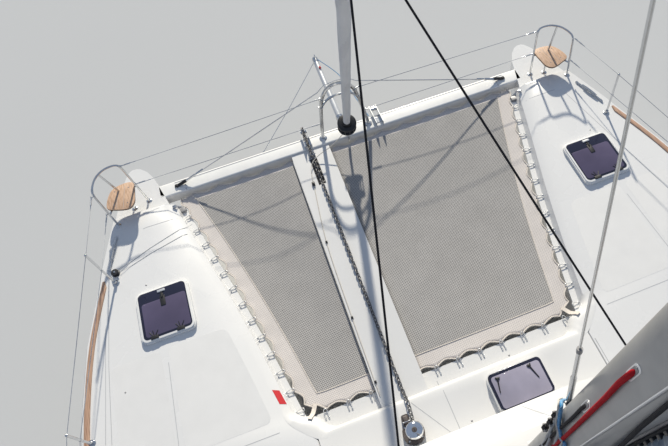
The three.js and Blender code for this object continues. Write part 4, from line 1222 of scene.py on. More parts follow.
def make_foredeck_fittings():
    form = Form()
    corners = [Vector((x, y)) for x, y in RED_PATCH]
    rows = []
    for i in range(5):
        a = corners[0].lerp(corners[3], i / 4)
        b = corners[1].lerp(corners[2], i / 4)
        row = [deck_point(a.x, a.y, -SUNK)]
        row += [deck_point(*a.lerp(b, k / 3), 0.0025) for k in range(4)]
        rows.append(row + [deck_point(b.x, b.y, -SUNK)])
    form.rings(rows)
    block = deck_point(3.666, 3.119)
    form.lathe(FAIRLEAD_BLOCK, block, look=1, sides=24)
    form.lathe([(0.001, 0.060), (0.010, 0.060), (0.013, 0.052), (0.001, 0.050)], block, look=2, sides=14)
    for (x0, y0), (x1, y1) in DECK_LINES:
        path = []
        for t in (k / 24 for k in range(25)):
            x, y = x0 + (x1 - x0) * t, y0 + (y1 - y0) * t
            path.append((x, y, max(deck_height(x, y) + 0.003, 1.630 - 0.09 * t)))
        form.tube(path, 0.0019, 3, 5)
    for _, sign in SIDES:
        a = deck_point(RAIL_AFT[0], RAIL_AFT[1] * sign, 0.014)
        b = deck_point(RAIL_FRONT[0], RAIL_FRONT[1] * sign, 0.014)
        form.tube([a, a.lerp(b, 0.5) + up(0.004), b], 0.011, 2)
        for t in (0.04, 0.35, 0.65, 0.96):
            form.block(a.lerp(b, t) - up(0.008), (0.05, 0.03, 0.018), 2, 0.004)
        form.cleat(a.lerp(b, 0.5) + up(0.028), (b - a).normalized(), 0.12, 0.05, 0, 0.012, 0.04, 0.03, 2)
        for x, y in STANCHION_FEET:
            form.lathe(STANCHION_PLATE, deck_point(x, y * sign), look=2)
            for c, s in circle(3, 0.5):
                head = deck_point(x + 0.033 * c, y * sign + 0.033 * s, 0.004)
                form.lathe(button(0.005, 0.004, 0.004, 0.005), head, look=2, sides=8)
        for x, y in ((4.606, 2.633), (4.56, 2.82), (4.315, 3.01)):
            form.lathe(FOOT_PLATE, deck_point(x, y * sign), look=2, sides=18)
    piece("foredeck_fittings", form, ["red_paint", "black_plastic", "steel", "grey_rope", "white_paint"])


make_foredeck_fittings()

# Turnbuckles at the ends of the guard wires: each end, and the point that its wire runs to
WIRE_ENDS = [
    ((4.43, 3.084, 2.12), (3.622, 3.187, 2.205)), ((4.38, 3.059, 1.80), (3.584, 3.161, 1.90)),
    ((-6.425, 3.640, 2.16), (-5.04, 3.655, 2.205)), ((-6.425, 3.640, 1.89), (-5.04, 3.6475, 1.90)),
    ((4.733, 2.711, 2.13), (4.733, 0.218, 2.175)), ((4.676, 2.676, 1.805), (4.690, 0.300, 1.78)),
]
TURNBUCKLE_AT = (0.0, 0.03, 0.035, 0.13, 0.135, 0.19)
TURNBUCKLE_R = (0.009, 0.009, 0.0075, 0.0075, 0.0055, 0.0055)
STANCHION_CAP = [(0.0135, -0.02), (0.0145, -0.018), (0.0145, 0), (0.010, 0.008), (0.001, 0.010)]


def make_wire_ends():
    form = Form()
    for _, sign in SIDES:
        mirror = Vector((1, sign, 1))
        for start, towards in WIRE_ENDS:
            start, towards = Vector(start) * mirror, Vector(towards) * mirror
            along = (towards - start).normalized()
            form.tube([start + along * d for d in TURNBUCKLE_AT], TURNBUCKLE_R)
            form.tube([start + along * 0.045, start + along * 0.12], 0.0092)
            across = along.orthogonal().normalized() * 0.014
            form.tube([start - across, start + across], 0.005)
        for (x0, y0), (x, y) in zip(STANCHION_FEET, STANCHION_TOPS):
            form.lathe(STANCHION_CAP, (x, y * sign, 2.2145), sides=14)
            middle = Vector(((x0 + x) / 2, (y0 + y) / 2 * sign, WIRE_Z))
            lean = Vector((x - x0, (y - y0) * sign, 0.645)).normalized() * 0.009
            form.tube([middle - lean, middle + lean], 0.0150, 0, 12)
    piece("wire_ends", form, "steel")


make_wire_ends()

# Hatch windows: a rim, dark glass with a paler panel, handles, hinges, and black arms that are painted
# reflections on the glass
HATCH_X, HATCH_Y = 2.975, 2.645
HATCH_LOW, HATCH_TOP = 1.6523, 1.6668
DECK_HATCH = {"x": 0.869, "y": -0.5695, "lx": 0.366, "ly": 0.571, "low": 1.6803, "top": 1.6955}
# Forward shift, size along and across, corner, bottom, top, look, bevel and its steps
HATCH_PANES = [
    (0.0, 0.600, 0.570, 0.060, HATCH_LOW, HATCH_TOP - 0.002, 0, 0.004, 3),
    (0.006, 0.560, 0.532, 0.048, HATCH_LOW + 0.006, HATCH_TOP, 1, 0.002, 2),
    (-0.005, 0.470, 0.440, 0.040, HATCH_LOW - 0.0008, HATCH_LOW + 0.004, 2, 0.0003, 2),
]
HATCH_BLOCKS = [
    (0.252, 0.005, (0.030, 0.088, 0.012), 3, 0.004), (0.190, 0.004, (0.050, 0.034, 0.009), 4, 0.003),
    (0.125, 0.003, (0.120, 0.056, 0.007), 4, 0.003),
]
DECK_HATCH_HANDLES = [((0.987, -0.372), (0.852, -0.340)), ((0.994, -0.719), (0.856, -0.758))]


def make_hull_hatches():
    looks = ["white_paint", "dark_border", "smoked", "pale_alloy", "black_plastic"]
    for side, sign in SIDES:
        y = HATCH_Y * sign
        form = Form()
        for shift, lx, ly, r, low, high, look, bevel, steps in HATCH_PANES:
            form.slab(round_rect(HATCH_X + shift, y, lx, ly, r, 8), low, high, look, bevel, steps)
        for dy in (-0.11, 0.11):
            form.block((HATCH_X - 0.17, y + dy, HATCH_LOW - 0.010), (0.060, 0.022, 0.018), 4, 0.004)
        pane = round_rect(HATCH_X - 0.047, y - 0.008 * sign, 0.405, 0.490, 0.030, 8)
        form.slab(pane, HATCH_LOW + 0.008, HATCH_TOP + 0.0006, 2, 0.0004)
        for shift, lift, size, look, bevel in HATCH_BLOCKS:
            form.block((HATCH_X + shift, y, HATCH_TOP + lift), size, look, bevel)
        lever = [(HATCH_X + 0.238, y, HATCH_TOP + 0.009), (HATCH_X + 0.165, y, HATCH_TOP + 0.012)]
        form.tube(lever, 0.007, 4)
        for dy in (-0.135, 0.150):
            base = Vector((HATCH_X - 0.268, y + dy * sign, HATCH_TOP + 0.004))
            form.block(base, (0.040, 0.085, 0.010), 4, 0.003)
            # Three black arms fan out from each hinge block over the glass: painted reflections
            for turn in (-0.55, 0.15, 0.6):
                end = base + Vector((0.085 * math.cos(turn), 0.085 * math.sin(turn), -0.002))
                form.tube([base, end], 0.0045, 4, 6)
        lid = piece("hatch_window_" + side, form, looks, "lid_left" if sign > 0 else "lid_right")
        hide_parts("hatch_lid_" + side)


def make_deck_hatch():
    h = DECK_HATCH
    top = h["top"]
    form = Form()
    form.slab(round_rect(h["x"], h["y"], h["lx"], h["ly"], 0.045, 8), h["low"], top, 0, 0.003, 3)
    pane = round_rect(h["x"] - 0.010, h["y"], h["lx"] - 0.044, h["ly"] - 0.052, 0.030, 8)
    form.slab(pane, h["low"] + 0.008, top + 0.0006, 1, 0.0004)
    knob = [(0.001, 0.012), (0.014, 0.012), (0.018, 0.008), (0.018, 0), (0.001, 0)]
    for (x0, y0), (x1, y1) in DECK_HATCH_HANDLES:
        a, b = Vector((x0, y0, top + 0.006)), Vector((x1, y1, top + 0.004))
        along = (b - a).normalized()
        back = a + along * -0.012
        cross = Vector((-along.y, along.x, 0)) * 0.022
        form.lathe(knob, a - up(0.006), look=2, sides=16)
        form.tube([back - cross, a, back + cross], 0.007, 2)
        form.tube([a, a.lerp(b, 0.5), b], [0.0085, 0.0065, 0.0055], 2)
    lid = piece("deck_hatch_window", form, ["dark_border", "pale_smoked", "black_plastic"], "lid_middle")
    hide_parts("deck_hatch_lid")


make_hull_hatches()
make_deck_hatch()

# Windlass with its polished dome, and the bolts of its base
WINDLASS = Vector((0.824, 0.570, 0.0))
DOME = {"radius": 0.086, "rise": 0.036, "z": 1.736, "steps": 9}
BOLTS = {"x": 0.824, "y": 0.580, "z": 1.660, "radius": 0.094}
WINDLASS_PROFILE = [
    (0.001, 1.6378), (0.025, 1.6378), (0.030, 1.642), (0.066, 1.642), (0.070, 1.646), (0.070, 1.668),
    (0.066, 1.674), (0.054, 1.684), (0.052, 1.688), (0.058, 1.694), (0.068, 1.700), (0.070, 1.706),
    (0.070, 1.712), (0.080, 1.722),
]


def make_windlass():
    form = Form()
    dome = []
    for k in range(DOME["steps"] + 1):
        a = math.pi / 2 * k / DOME["steps"]
        dome.append((DOME["radius"] * math.cos(a) + 0.001, DOME["z"] + DOME["rise"] * math.sin(a)))
    form.lathe(WINDLASS_PROFILE + dome, WINDLASS, look=0, sides=48)
    cap = [(0.001, 1.768), (0.026, 1.768), (0.026, 1.774), (0.022, 1.778), (0.001, 1.779)]
    form.lathe(cap, WINDLASS, look=1, sides=24)
    form.block(WINDLASS + up(1.7785), (0.034, 0.007, 0.0015), 2, 0.0003)
    for c, s in circle(5):
        form.tube([WINDLASS + Vector((0.058 * c, 0.058 * s, z)) for z in (1.676, 1.702)], 0.0085, 1)
    drum = piece("windlass_gypsy", form, ["chrome", "brown_metal", "black_plastic"], "drum", 25)
    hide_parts("windlass_drum")
    extra = Form()
    for c, s in circle(4, 0.5):
        bolt = (BOLTS["x"] + BOLTS["radius"] * c, BOLTS["y"] + BOLTS["radius"] * s, BOLTS["z"])
        extra.lathe(button(0.006, 0.008, 0.005, 0.009), bolt, sides=12)
    extra.block((0.955, 0.608, 1.672), (0.075, 0.05, 0.026), 1, 0.006)
    extra.tube([(0.935, 0.572, 1.676), (0.935, 0.644, 1.676)], 0.010, 0, 10)
    piece("windlass_fittings", extra, ["steel", "brown_metal"])


make_windlass()

# Walkway: near-black sheets in the trough as painted shade, chain stopper and the taut furling line
TROUGH_AFT, TROUGH_FRONT = 4.012, 4.433
TROUGH_HALF = 0.0445
STOPPER_X = 4.478
FURLING_LINE = [
    (4.566, -0.055, 1.745), (4.453, 0.208, 1.62), (4.408, 0.463, 1.535), (4.30, 0.59, 1.515),
    (4.045, 0.640, 1.515),
]
FURLING_RUN = [(4.045, 0.640), (3.2, 0.735), (2.2, 0.755), (1.3, 0.760)]


def make_walkway_details():
    form = Form()
    middle, length = (TROUGH_AFT + TROUGH_FRONT) / 2, TROUGH_FRONT - TROUGH_AFT
    # Near-black sheets on the trough's sides and floor: painted shade in the trough
    for y in (WALK_Y - TROUGH_HALF, WALK_Y + TROUGH_HALF):
        form.block((middle, y, 1.4645), (length, 0.003, 0.046), 0, 0.0005)
    form.block((middle, WALK_Y, 1.4412), (length, 0.088, 0.002), 0, 0.0005)
    top = deck_height(4.48, WALK_Y)
    for y in (-0.035, 0.035):
        form.block((STOPPER_X, WALK_Y + y, top + 0.018), (0.07, 0.012, 0.038), 1, 0.004)
    form.tube([(STOPPER_X, WALK_Y + y, top + 0.030) for y in (-0.05, 0.05)], 0.006, 1)
    form.block(deck_point(4.045, 0.640, 0.016), (0.05, 0.036, 0.034), 2, 0.008)
    form.tube(smooth_path(FURLING_LINE), 0.005, 3, 6)
    edge = WALK_Y + WALK_HALF - 0.01
    path = [(x, y, deck_height(x, min(y, edge), 1.49) + 0.006) for x, y in FURLING_RUN]
    form.tube(smooth_path(path, 12), 0.005, 3, 6)
    for x, y in ((3.2, 0.735), (2.2, 0.755), (1.45, 0.755)):
        form.block((x, y, deck_height(x, y, 1.49) + 0.008), (0.03, 0.024, 0.018), 2, 0.004)
    piece("walkway_fittings", form, ["trough_shade_sheet", "steel", "black_plastic", "white_rope"])


make_walkway_details()

# Mast with its grooves drawn as painted highlight and shadow lines, exits and halyards
MAST_LOW_Z = 1.99
MAST_FOOT_Z = 2.03
MAST_TOP_Z = 17.9
RAKE = 0.0311
SECTION = {"centre": 0.033, "x": 0.129, "y": 0.075, "power": 0.88}
BOOM_Z = 3.9
GOOSE_X = -0.2502
HOUNDS_Z = 16.0
SPREADER_Z = 9.3
LUFF_LOW, LUFF_HIGH = 4.62, 5.95
MAST_STEPS = 60
GROOVE_LOW, GROOVE_LENGTH = 2.2, 15.6
TANG_AFT_X = -0.199
LUFF_FOLDS = 19
FOLD_STEPS = 8


def raked(z):
    return 0.018 - RAKE * (z - MAST_FOOT_Z)


def mast_ring(z, grow=0.0):
    ring = []
    power = SECTION["power"]
    for c, s in circle(48):
        x = SECTION["centre"] + (SECTION["x"] + grow) * math.copysign(abs(c) ** power, c)
        y = (SECTION["y"] + grow) * math.copysign(abs(s) ** power, s)
        ring.append((raked(z) + x, y, z))
    return ring


def mast_side(across, z, lift=0.0, sign=1):
    """A point on the mast's side, so far forward of its middle line, lifted off the skin."""
    power = SECTION["power"]
    share = min(0.999, abs(across - SECTION["centre"]) / SECTION["x"])
    y = SECTION["y"] * (1 - share ** (2 / power)) ** (power / 2)
    return Vector((raked(z) + across, sign * (y + lift), z))


# Ropes that run down outside the mast
RED_ROPE = [
    mast_side(0.064, 5.83, -0.004), mast_side(0.064, 5.80, 0.006), (-0.031, 0.086, 5.678),
    (-0.033, 0.087, 5.495), (-0.026, 0.088, 4.764), (0.010, 0.110, 3.2), (0.045, 0.135, 2.062),
]
DARK_ROPE = [
    mast_side(0.0855, 5.20, 0.002), mast_side(0.088, 5.15, 0.008), (0.009, 0.083, 4.996),
    (0.024, 0.083, 4.533), (0.055, 0.10, 3.2), (0.085, 0.115, 2.062),
]
AFT_ROPE = [
    (-0.164, 0.072, 6.35), (-0.166, 0.070, 5.878), (-0.171, 0.064, 5.597), (-0.180, 0.053, 5.33),
    (-0.186, 0.040, 5.0), (-0.190, 0.028, 4.62),
]
BLUE_ROPE = [
    (0.122, 0.004, 4.735), (0.112, 0.040, 4.80), (0.090, 0.062, 4.84), (0.064, 0.074, 4.80),
    (0.032, 0.086, 4.74), (-0.019, 0.090, 4.68), (-0.058, 0.088, 4.55), (-0.058, 0.090, 3.2),
    (-0.02, 0.13, 2.064),
]
GREY_ROPES = [
    [(0.070, 0.066, 4.66), (0.046, 0.084, 4.506), (0.030, 0.090, 4.0), (0.07, 0.13, 2.066)],
    [(0.074, 0.066, 4.58), (0.012, 0.090, 4.398), (0.004, 0.095, 3.9), (0.02, 0.145, 2.066)],
    [(0.060, 0.074, 4.76), (-0.012, 0.091, 4.576), (-0.03, 0.095, 4.1), (-0.045, 0.13, 2.066)],
]
MAST_WINCH = [
    (0.050, -0.01), (0.052, 0.012), (0.034, 0.022), (0.031, 0.055), (0.040, 0.070), (0.040, 0.078),
    (0.001, 0.080),
]


def make_mast():
    form = Form()
    shares = [k / MAST_STEPS for k in range(MAST_STEPS + 1)]
    form.rings([mast_ring(MAST_LOW_Z + (MAST_TOP_Z - MAST_LOW_Z) * t) for t in shares])
    form.rings([mast_ring(MAST_TOP_Z - 0.03, 0.012), mast_ring(MAST_TOP_Z - 0.002, 0.012)], 1)
    form.slab(round_rect(0.018, 0, 0.42, 0.30, 0.06, 6), 1.995, 2.072, 1, 0.010, 3)
    for z in (2.12, HOUNDS_Z - 0.25):
        form.rings([mast_ring(z, 0.004), mast_ring(z + 0.03, 0.004)], 1)
    lug_x = (GOOSE_X + raked(BOOM_Z) - 0.09) / 2
    form.block((lug_x, 0, BOOM_Z), (raked(BOOM_Z) - 0.08 - GOOSE_X, 0.016, 0.12), 1, 0.003)
    form.tube([(GOOSE_X, 0, BOOM_Z - 0.08), (GOOSE_X, 0, BOOM_Z + 0.08)], 0.025, 1, 20)
    tang_x = raked(HOUNDS_Z) + 0.15
    tang = (abs(tang_x - TANG_AFT_X) + 0.02, 0.016, 0.09)
    form.block(((tang_x + TANG_AFT_X) / 2, 0, HOUNDS_Z - 0.015), tang, 1, 0.003)
    # The mast's skin takes the darker alloy: painted shade
    mast = piece("mast_spar", form, ["mast_alloy_shaded", "alloy"], angle=25)
    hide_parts("mast")


def add_rope_exit(form, across, z):
    """An upright slot in the mast's port side: a bright rim round a dark plate, painted shade for the
    opening.
    """
    for grow, lift, look in ((1.0, 0.0012, 1), (0.72, 0.0030, 2)):
        low, high = [], []
        for c, s in circle(20):
            end = math.copysign(0.040, s) if abs(s) > 1e-6 else 0
            dx, dz = 0.018 * grow * c, (0.030 * s + end) * grow
            low.append(mast_side(across + dx, z + dz, -0.004))
            high.append(mast_side(across + dx, z + dz, lift))
        form.rings([low, high], look)


def make_mast_fittings():
    form = Form()
    # Along each side a pale rib and a thin grey rib: painted highlight and painted shadow of a groove
    for sign in (1, -1):
        heights = [GROOVE_LOW + GROOVE_LENGTH * k / MAST_STEPS for k in range(MAST_STEPS + 1)]
        form.tube([mast_side(-0.026, z, -0.001, sign) for z in heights], 0.0045, 1, 6)
        form.tube([mast_side(-0.032, z, -0.001, sign) for z in heights], 0.0025, 2, 5)
    track_x = SECTION["centre"] - SECTION["x"] - 0.004
    track = [Vector((raked(z) + track_x, 0, z)) for z in (4.05, 10.0, 17.7)]
    for y, radius, look in ((-0.014, 0.008, 2), (0.014, 0.008, 2), (0, 0.012, 0)):
        form.tube([p + Vector((0, y, 0)) for p in track], radius, look, 6)
    for across, z in ((0.064, 5.80), (0.0855, 5.19)):
        add_rope_exit(form, across, z)
    form.tube(RED_ROPE, [0.006, 0.011, 0.011, 0.0105, 0.0095, 0.009, 0.009], 3, 10)
    form.tube(DARK_ROPE, 0.008, 4)
    form.tube(AFT_ROPE, 0.0085, 4, 10)
    blue = smooth_path(BLUE_ROPE)
    form.tube(blue, 0.0095, 5)
    form.tube([p + Vector((0.012, 0.010, 0.01)) for p in blue], 0.004, 6, 6)
    for path in GREY_ROPES:
        form.tube(smooth_path(path), 0.0085, 7)
    for x, y, z in ((0.078, 0.076, 4.724), (0.080, 0.079, 4.447), (0.074, 0.080, 4.600)):
        form.block((x, y, z), (0.028, 0.026, 0.062), 4, 0.008)
        form.lathe(sheave(0.023, 0.010), (x, y, z), (0.3, 1, 0), 2, 16)
    for z, across in ((3.15, 0.03), (3.65, 0.07)):
        form.lathe(MAST_WINCH, mast_side(across, z), (0.1, 1, 0), 2, 28)
    for sign in (1, -1):
        horn = mast_side(0.02, 2.75, 0.012, sign)
        form.tube([horn + up(dz) for dz in (-0.09, -0.03, 0.03, 0.09)], [0.005, 0.010, 0.010, 0.005], 2)
    looks = ["seam", "pale_alloy", "grey_metal", "red_rope", "black_rope", "blue_rope"]
    looks += ["white_rope", "grey_rope"]
    piece("mast_fittings", form, looks)
    halyards = Form()
    for look, (back, y) in enumerate(((0.112, 0.020), (0.108, -0.024))):
        halyards.tube([(raked(z) - back, y, z) for z in (4.62, 6.0, 9.0, 13.0, 17.3)], 0.006, look)
    piece("aft_halyards", halyards, ["black_rope", "white_rope"])


def make_luff_stack():
    """The mainsail's luff, folded down behind the mast, with a slide at each fold."""
    form = Form()
    rings = []
    for i in range(LUFF_FOLDS * FOLD_STEPS + 1):
        z = LUFF_LOW + (LUFF_HIGH - LUFF_LOW) * i / (LUFF_FOLDS * FOLD_STEPS)
        swell = 0.5 - 0.5 * math.cos(2 * math.pi * i / FOLD_STEPS)
        half = 0.016 + 0.024 * swell + 0.004 * math.sin(i * 1.7)
        shift = 0.012 * math.sin(i * 0.9)
        near, far = raked(z) - 0.126, raked(z) - 0.205 - 0.022 * swell
        ring = []
        for k, (c, s) in enumerate(circle(18)):
            x = (near + far) / 2 + (near - far) / 2 * c
            crease = 0.008 * math.sin(4 * math.pi * k / 18 + i)
            ring.append((x, shift * (1 - c) / 2 + half * s, z + crease))
        rings.append(ring)
    form.rings(rings)
    for i in range(LUFF_FOLDS):
        z = LUFF_LOW + (LUFF_HIGH - LUFF_LOW) * (i + 0.5) / LUFF_FOLDS
        form.block((raked(z) - 0.122, 0, z), (0.030, 0.036, 0.026), 1, 0.004)
    luff = piece("sail_luff", form, ["luff", "black_plastic"], angle=60)


def make_masthead():
    lamp = Form()
    head = Vector((raked(MAST_TOP_Z) + 0.06, 0, MAST_TOP_Z))
    vane = head + Vector((-0.10, 0, 0))
    cup = [(0.001, 0.0), (0.014, 0.006), (0.018, 0.02), (0.012, 0.032), (0.001, 0.034)]
    lamp.lathe([(0.001, 0.0), (0.022, 0.0), (0.022, 0.02), (0.001, 0.02)], head, look=1)
    lamp.lathe([(0.018, 0.02), (0.019, 0.05), (0.014, 0.062), (0.001, 0.064)], head)
    lamp.tube([vane, vane + up(0.20)], 0.004, 1, 6)
    lamp.tube([vane + Vector((0, y, 0.20)) for y in (-0.09, 0.09)], 0.003, 1, 6)
    for y in (-0.09, 0.09):
        lamp.lathe(cup, vane + Vector((0, y, 0.17)), look=1, sides=14)
    piece("masthead_light", lamp, ["glass", "black_plastic"])


make_mast()
make_mast_fittings()
make_luff_stack()
make_masthead()

# Spreaders with their wires and turnbuckles
SPREADER_TIPS = ((1.018, 0.0), (-0.700, 0.900), (-0.700, -0.900))
WIRE_FEET_Z = (4.76, 13.8)
TIP_BALL = [(0.001, -0.032), (0.020, -0.030), (0.024, 0.0), (0.020, 0.030), (0.001, 0.032)]
BOTTLE_AT = (0.02, 0.04, 0.05, 0.26, 0.27, 0.48, 0.50)
BOTTLE_R = (0.008, 0.016, 0.0145, 0.0145, 0.0105, 0.0105, 0.007)


def make_spreaders():
    form = Form()
    for x, y in SPREADER_TIPS:
        tip = Vector((x, y, SPREADER_Z))
        turn = math.copysign(1, y) if y else 0
        root = Vector((raked(SPREADER_Z) + (0.12 if x > 0 else -0.02), turn * 0.06, SPREADER_Z))
        along = (tip - root).normalized()
        flat = up(1).cross(along)
        rings = []
        for t in (k / 12 for k in range(13)):
            centre = root.lerp(tip, t)
            wide, high = 0.038 - 0.014 * t, 0.016 - 0.004 * t
            rings.append([centre + flat * wide * c + up(high * s) for c, s in circle(16)])
        form.rings(rings)
        form.lathe(TIP_BALL, tip - along * 0.006, look=1, sides=18)
        across = -0.055 if y else SECTION["centre"] + SECTION["x"] + 0.008
        for z in WIRE_FEET_Z:
            foot = Vector((raked(z) + across, turn * 0.064, z))
            way = (tip - foot).normalized()
            pin = foot + way * 0.012
            form.tube([foot, tip], 0.006, 1)
            form.tube([foot + way * d for d in BOTTLE_AT], BOTTLE_R, 1, 10)
            form.tube([pin + Vector((0, 0.02, 0)), pin - Vector((0, 0.02, 0))], 0.009, 2)
            form.tube([foot - way * 0.03, foot + way * 0.03], 0.013, 2)
            if not y and z == WIRE_FEET_Z[0]:
                form.tube([foot + way * 0.49, foot + way * 0.52], 0.0135, 2, 10)
    made = piece("spreader_set", form, ["alloy", "steel", "grey_metal"], angle=40)
    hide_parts("spreaders")


make_spreaders()

# The mainsail stowed in its bag on the boom: height and half width along it, then its cross-section
BAG = [(-5.9, 0.20, 0.11), (-4.0, 0.33, 0.165), (-1.6, 0.43, 0.19), (-0.325, 0.50, 0.15)]
BAG_BASE = 3.9903
BAG_SECTION = [
    (0.45, 0.0), (0.86, 0.14), (1.0, 0.36), (0.95, 0.56), (0.80, 0.75), (0.55, 0.90), (0.25, 0.985),
]
BAG_STEPS = 150
BAG_END, BAG_START = BAG[0][0], BAG[-1][0]
BLOCK_XS = (-2.2, -3.2, -4.2, -5.2)
STRAP_FIRST_X = -0.375
STRAP_STEP_X = 0.85
STRAP_SHIFT = 0.8


def bag_sag(x):
    return abs(0.012 * math.sin(x * 3.3))


def bag_outline():
    profile = smooth_table(BAG_SECTION, 4)
    return [(w, h, 1) for w, h in profile] + [(w, h, -1) for w, h in reversed(profile)]


def bag_point(x, end, w, h, side):
    """A point of the bag: puffed between its straps and drawn in at both ends."""
    height, half = along_table(BAG, x)
    close = min(1.0, 0.62 + 0.38 * math.sin(math.pi / 2 * min(1, end / 5)))
    fold = 0.010 * math.sin(x * 9.0 + h * 5.0 + side) + 0.007 * math.sin(x * 21.0 - h * 9.0)
    strap = max(0.0, 1 - abs(((x + STRAP_SHIFT) / STRAP_STEP_X) % 1.0 - 0.5) * 9)
    fold = (fold - 0.016 * strap) * max(0.0, 1 - abs(2 * h - 0.9))
    z = BAG_BASE + h * height * (0.75 + 0.25 * close) - bag_sag(x) * h
    return (x + (0 if end else 0.010 * math.sin(h * 8)), side * (w * half * close + fold), z)


def make_sail_bag():
    form = Form()
    outline = bag_outline()
    rings = []
    for i in range(BAG_STEPS + 1):
        x = BAG_START + (BAG_END - BAG_START) * i / BAG_STEPS
        rings.append([bag_point(x, min(i, BAG_STEPS - i), w, h, side) for w, h, side in outline])
    form.rings(rings)
    for k in range(7):
        x = STRAP_FIRST_X - STRAP_STEP_X * k
        if not BAG_END + 0.1 <= x <= BAG_START - 0.1:
            continue
        height, half = along_table(BAG, x)
        loop = []
        for w, h, side in outline:
            loop.append(Vector((x, side * (w * half + 0.002), BAG_BASE + h * height + 0.001)))
        loop += [Vector((x, y, BAG_BASE - 0.10)) for y in (-0.066, 0.066)]
        rings = []
        for p, q in zip(loop, loop[1:] + loop[:1]):
            out = Vector((0, (q - p).z, -(q - p).y)).normalized() * 0.003
            wide = Vector((0.014, 0, 0))
            rings.append([p - wide, p + wide, p + wide - out, p - wide - out])
        form.rings(rings, 1, closed=True)
    closing = []
    for i in range(60):
        x = BAG_START - 0.05 + (BAG_END - BAG_START + 0.1) * i / 59
        rise = 0.985 * along_table(BAG, x)[0]
        closing.append((x, 0, BAG_BASE + rise - bag_sag(x) + 0.001))
    form.tube(closing, 0.009, 2, 6)
    made = piece("sail_cover", form, ["bag", "bag_strap", "black_plastic"], "boom_and_sail", 60)
    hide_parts("sail_bag")


def make_boom_fittings():
    form = Form()
    low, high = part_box("boom")
    for z in (BOOM_Z - 0.045, BOOM_Z + 0.045):
        for y in (-0.0605, 0.0605):
            form.tube([(high.x - 0.15, y, z), (low.x + 0.12, y, z)], 0.003, 0, 5)
    for x in BLOCK_XS:
        form.tube([(x, 0, BOOM_Z - 0.088), (x, 0, BOOM_Z - 0.12)], 0.010, 1)
        form.lathe(sheave(0.028, 0.012), (x, 0, BOOM_Z - 0.14), (0, 1, 0), 2, 18)
    form.block((low.x + 0.012, 0, BOOM_Z), (0.05, 0.128, 0.15), 2, 0.01)
    for y in (-0.02, 0.02):
        form.lathe(sheave(0.032, 0.006), (low.x + 0.03, y, BOOM_Z + 0.075), (0, 1, 0), 1, 18)
    piece("boom_fittings", form, ["seam", "steel", "black_plastic"], "boom_and_sail")


make_sail_bag()
make_boom_fittings()

# Roof: winches, clutches, grab rails, two hatches and solar panels
WINCH = [
    (0.001, 0.0), (0.075, 0.0), (0.078, 0.012), (0.060, 0.022), (0.047, 0.032), (0.044, 0.060),
    (0.047, 0.088), (0.060, 0.098), (0.060, 0.112), (0.052, 0.116), (0.030, 0.120), (0.030, 0.124),
    (0.012, 0.124), (0.001, 0.118),
]
GRAB_RAIL = [(-3.8, 0.004), (-3.7, 0.055), (-2.0, 0.055), (-1.4, 0.055), (-1.3, 0.004)]
GRAB_RAIL_Y = 1.62
SOLAR_Y = 0.75
PANEL_Z = 3.210
# Length, width, corner, bottom, top, look and bevel of a solar panel's frame and of its cells
SOLAR_LAYERS = [(0.95, 0.68, 0.03, 0, 0.022, 5, 0.004), (0.90, 0.63, 0.02, 0.012, 0.0235, 6, 0.001)]
# Width, corner, bottom, top, look and bevel of a roof hatch's frame and of its pane
ROOF_HATCH_LAYERS = [(0.46, 0.05, -0.03, 0.030, 3, 0.006), (0.40, 0.04, 0, 0.038, 4, 0.004)]


def make_roof_fittings():
    form = Form()
    for sign in (1, -1):
        for x in (-3.60, -3.05):
            form.lathe(WINCH, (x, 1.50 * sign, roof_height(x, 1.50 * sign) - 0.003), sides=36)
        for k in range(4):
            x, y = -2.35, sign * (1.38 + 0.045 * k)
            z = roof_height(x, y)
            form.block((x, y, z + 0.02), (0.16, 0.036, 0.05), 1, 0.008)
            form.block((x + 0.05, y, z + 0.052), (0.10, 0.018, 0.02), 2, 0.005)
        y = sign * GRAB_RAIL_Y
        form.tube(smooth_path([(x, y, roof_height(x, y) + lift) for x, lift in GRAB_RAIL]), 0.0125, 0, 10)
        for x in (-5.95, -4.90):
            for lx, ly, r, low, high, look, bevel in SOLAR_LAYERS:
                outline = round_rect(x, sign * SOLAR_Y, lx, ly, r, 4)
                form.slab(outline, PANEL_Z + low, PANEL_Z + high, look, bevel)
    for x in (-2.9, -1.9):
        z = roof_height(x, 0)
        for width, r, low, high, look, bevel in ROOF_HATCH_LAYERS:
            form.slab(round_rect(x, 0, width, width, r, 6), z + low, z + high, look, bevel)
    looks = ["steel", "black_plastic", "grey_metal", "white_paint", "pale_smoked", "pale_alloy", "panel"]
    piece("roof_fittings", form, looks)


make_roof_fittings()

# Window gaskets: corners of a side window as x and z, and of a front window as y and z
SIDE_WINDOW = [(-3.9, 2.06), (-1.25, 2.04), (-1.5, 2.46), (-3.9, 2.50)]
FRONT_WINDOW = [(0.06, 2.2), (1.38, 2.2), (1.38, 2.7), (0.06, 2.7)]
GASKET_STEP = 0.08
SHELL = surface_of(
    "coachroof", "side_window_port", "side_window_starboard", "front_window_port", "front_window_starboard",
)


def closed_line(points):
    """Points at even steps round an outline."""
    result = []
    for a, b in zip(points, points[1:] + points[:1]):
        a, b = Vector(a), Vector(b)
        count = max(1, int((b - a).length / GASKET_STEP))
        result += [a.lerp(b, k / count) for k in range(count)]
    return result


def make_gaskets():
    form = Form()
    for sign in (1, -1):
        from_side = [((p.x, 3.2 * sign, p.y), (0, -sign, 0)) for p in closed_line(SIDE_WINDOW)]
        from_front = [((1.5, p.x * sign, p.y), (-1, 0, 0)) for p in closed_line(FRONT_WINDOW)]
        for rays in (from_side, from_front):
            hits = [SHELL.ray_cast(Vector(start), Vector(way))[0] for start, way in rays]
            form.tube([hit for hit in hits if hit], 0.012, 0, 6, closed=True)
    piece("window_gaskets", form, "rubber")


make_gaskets()

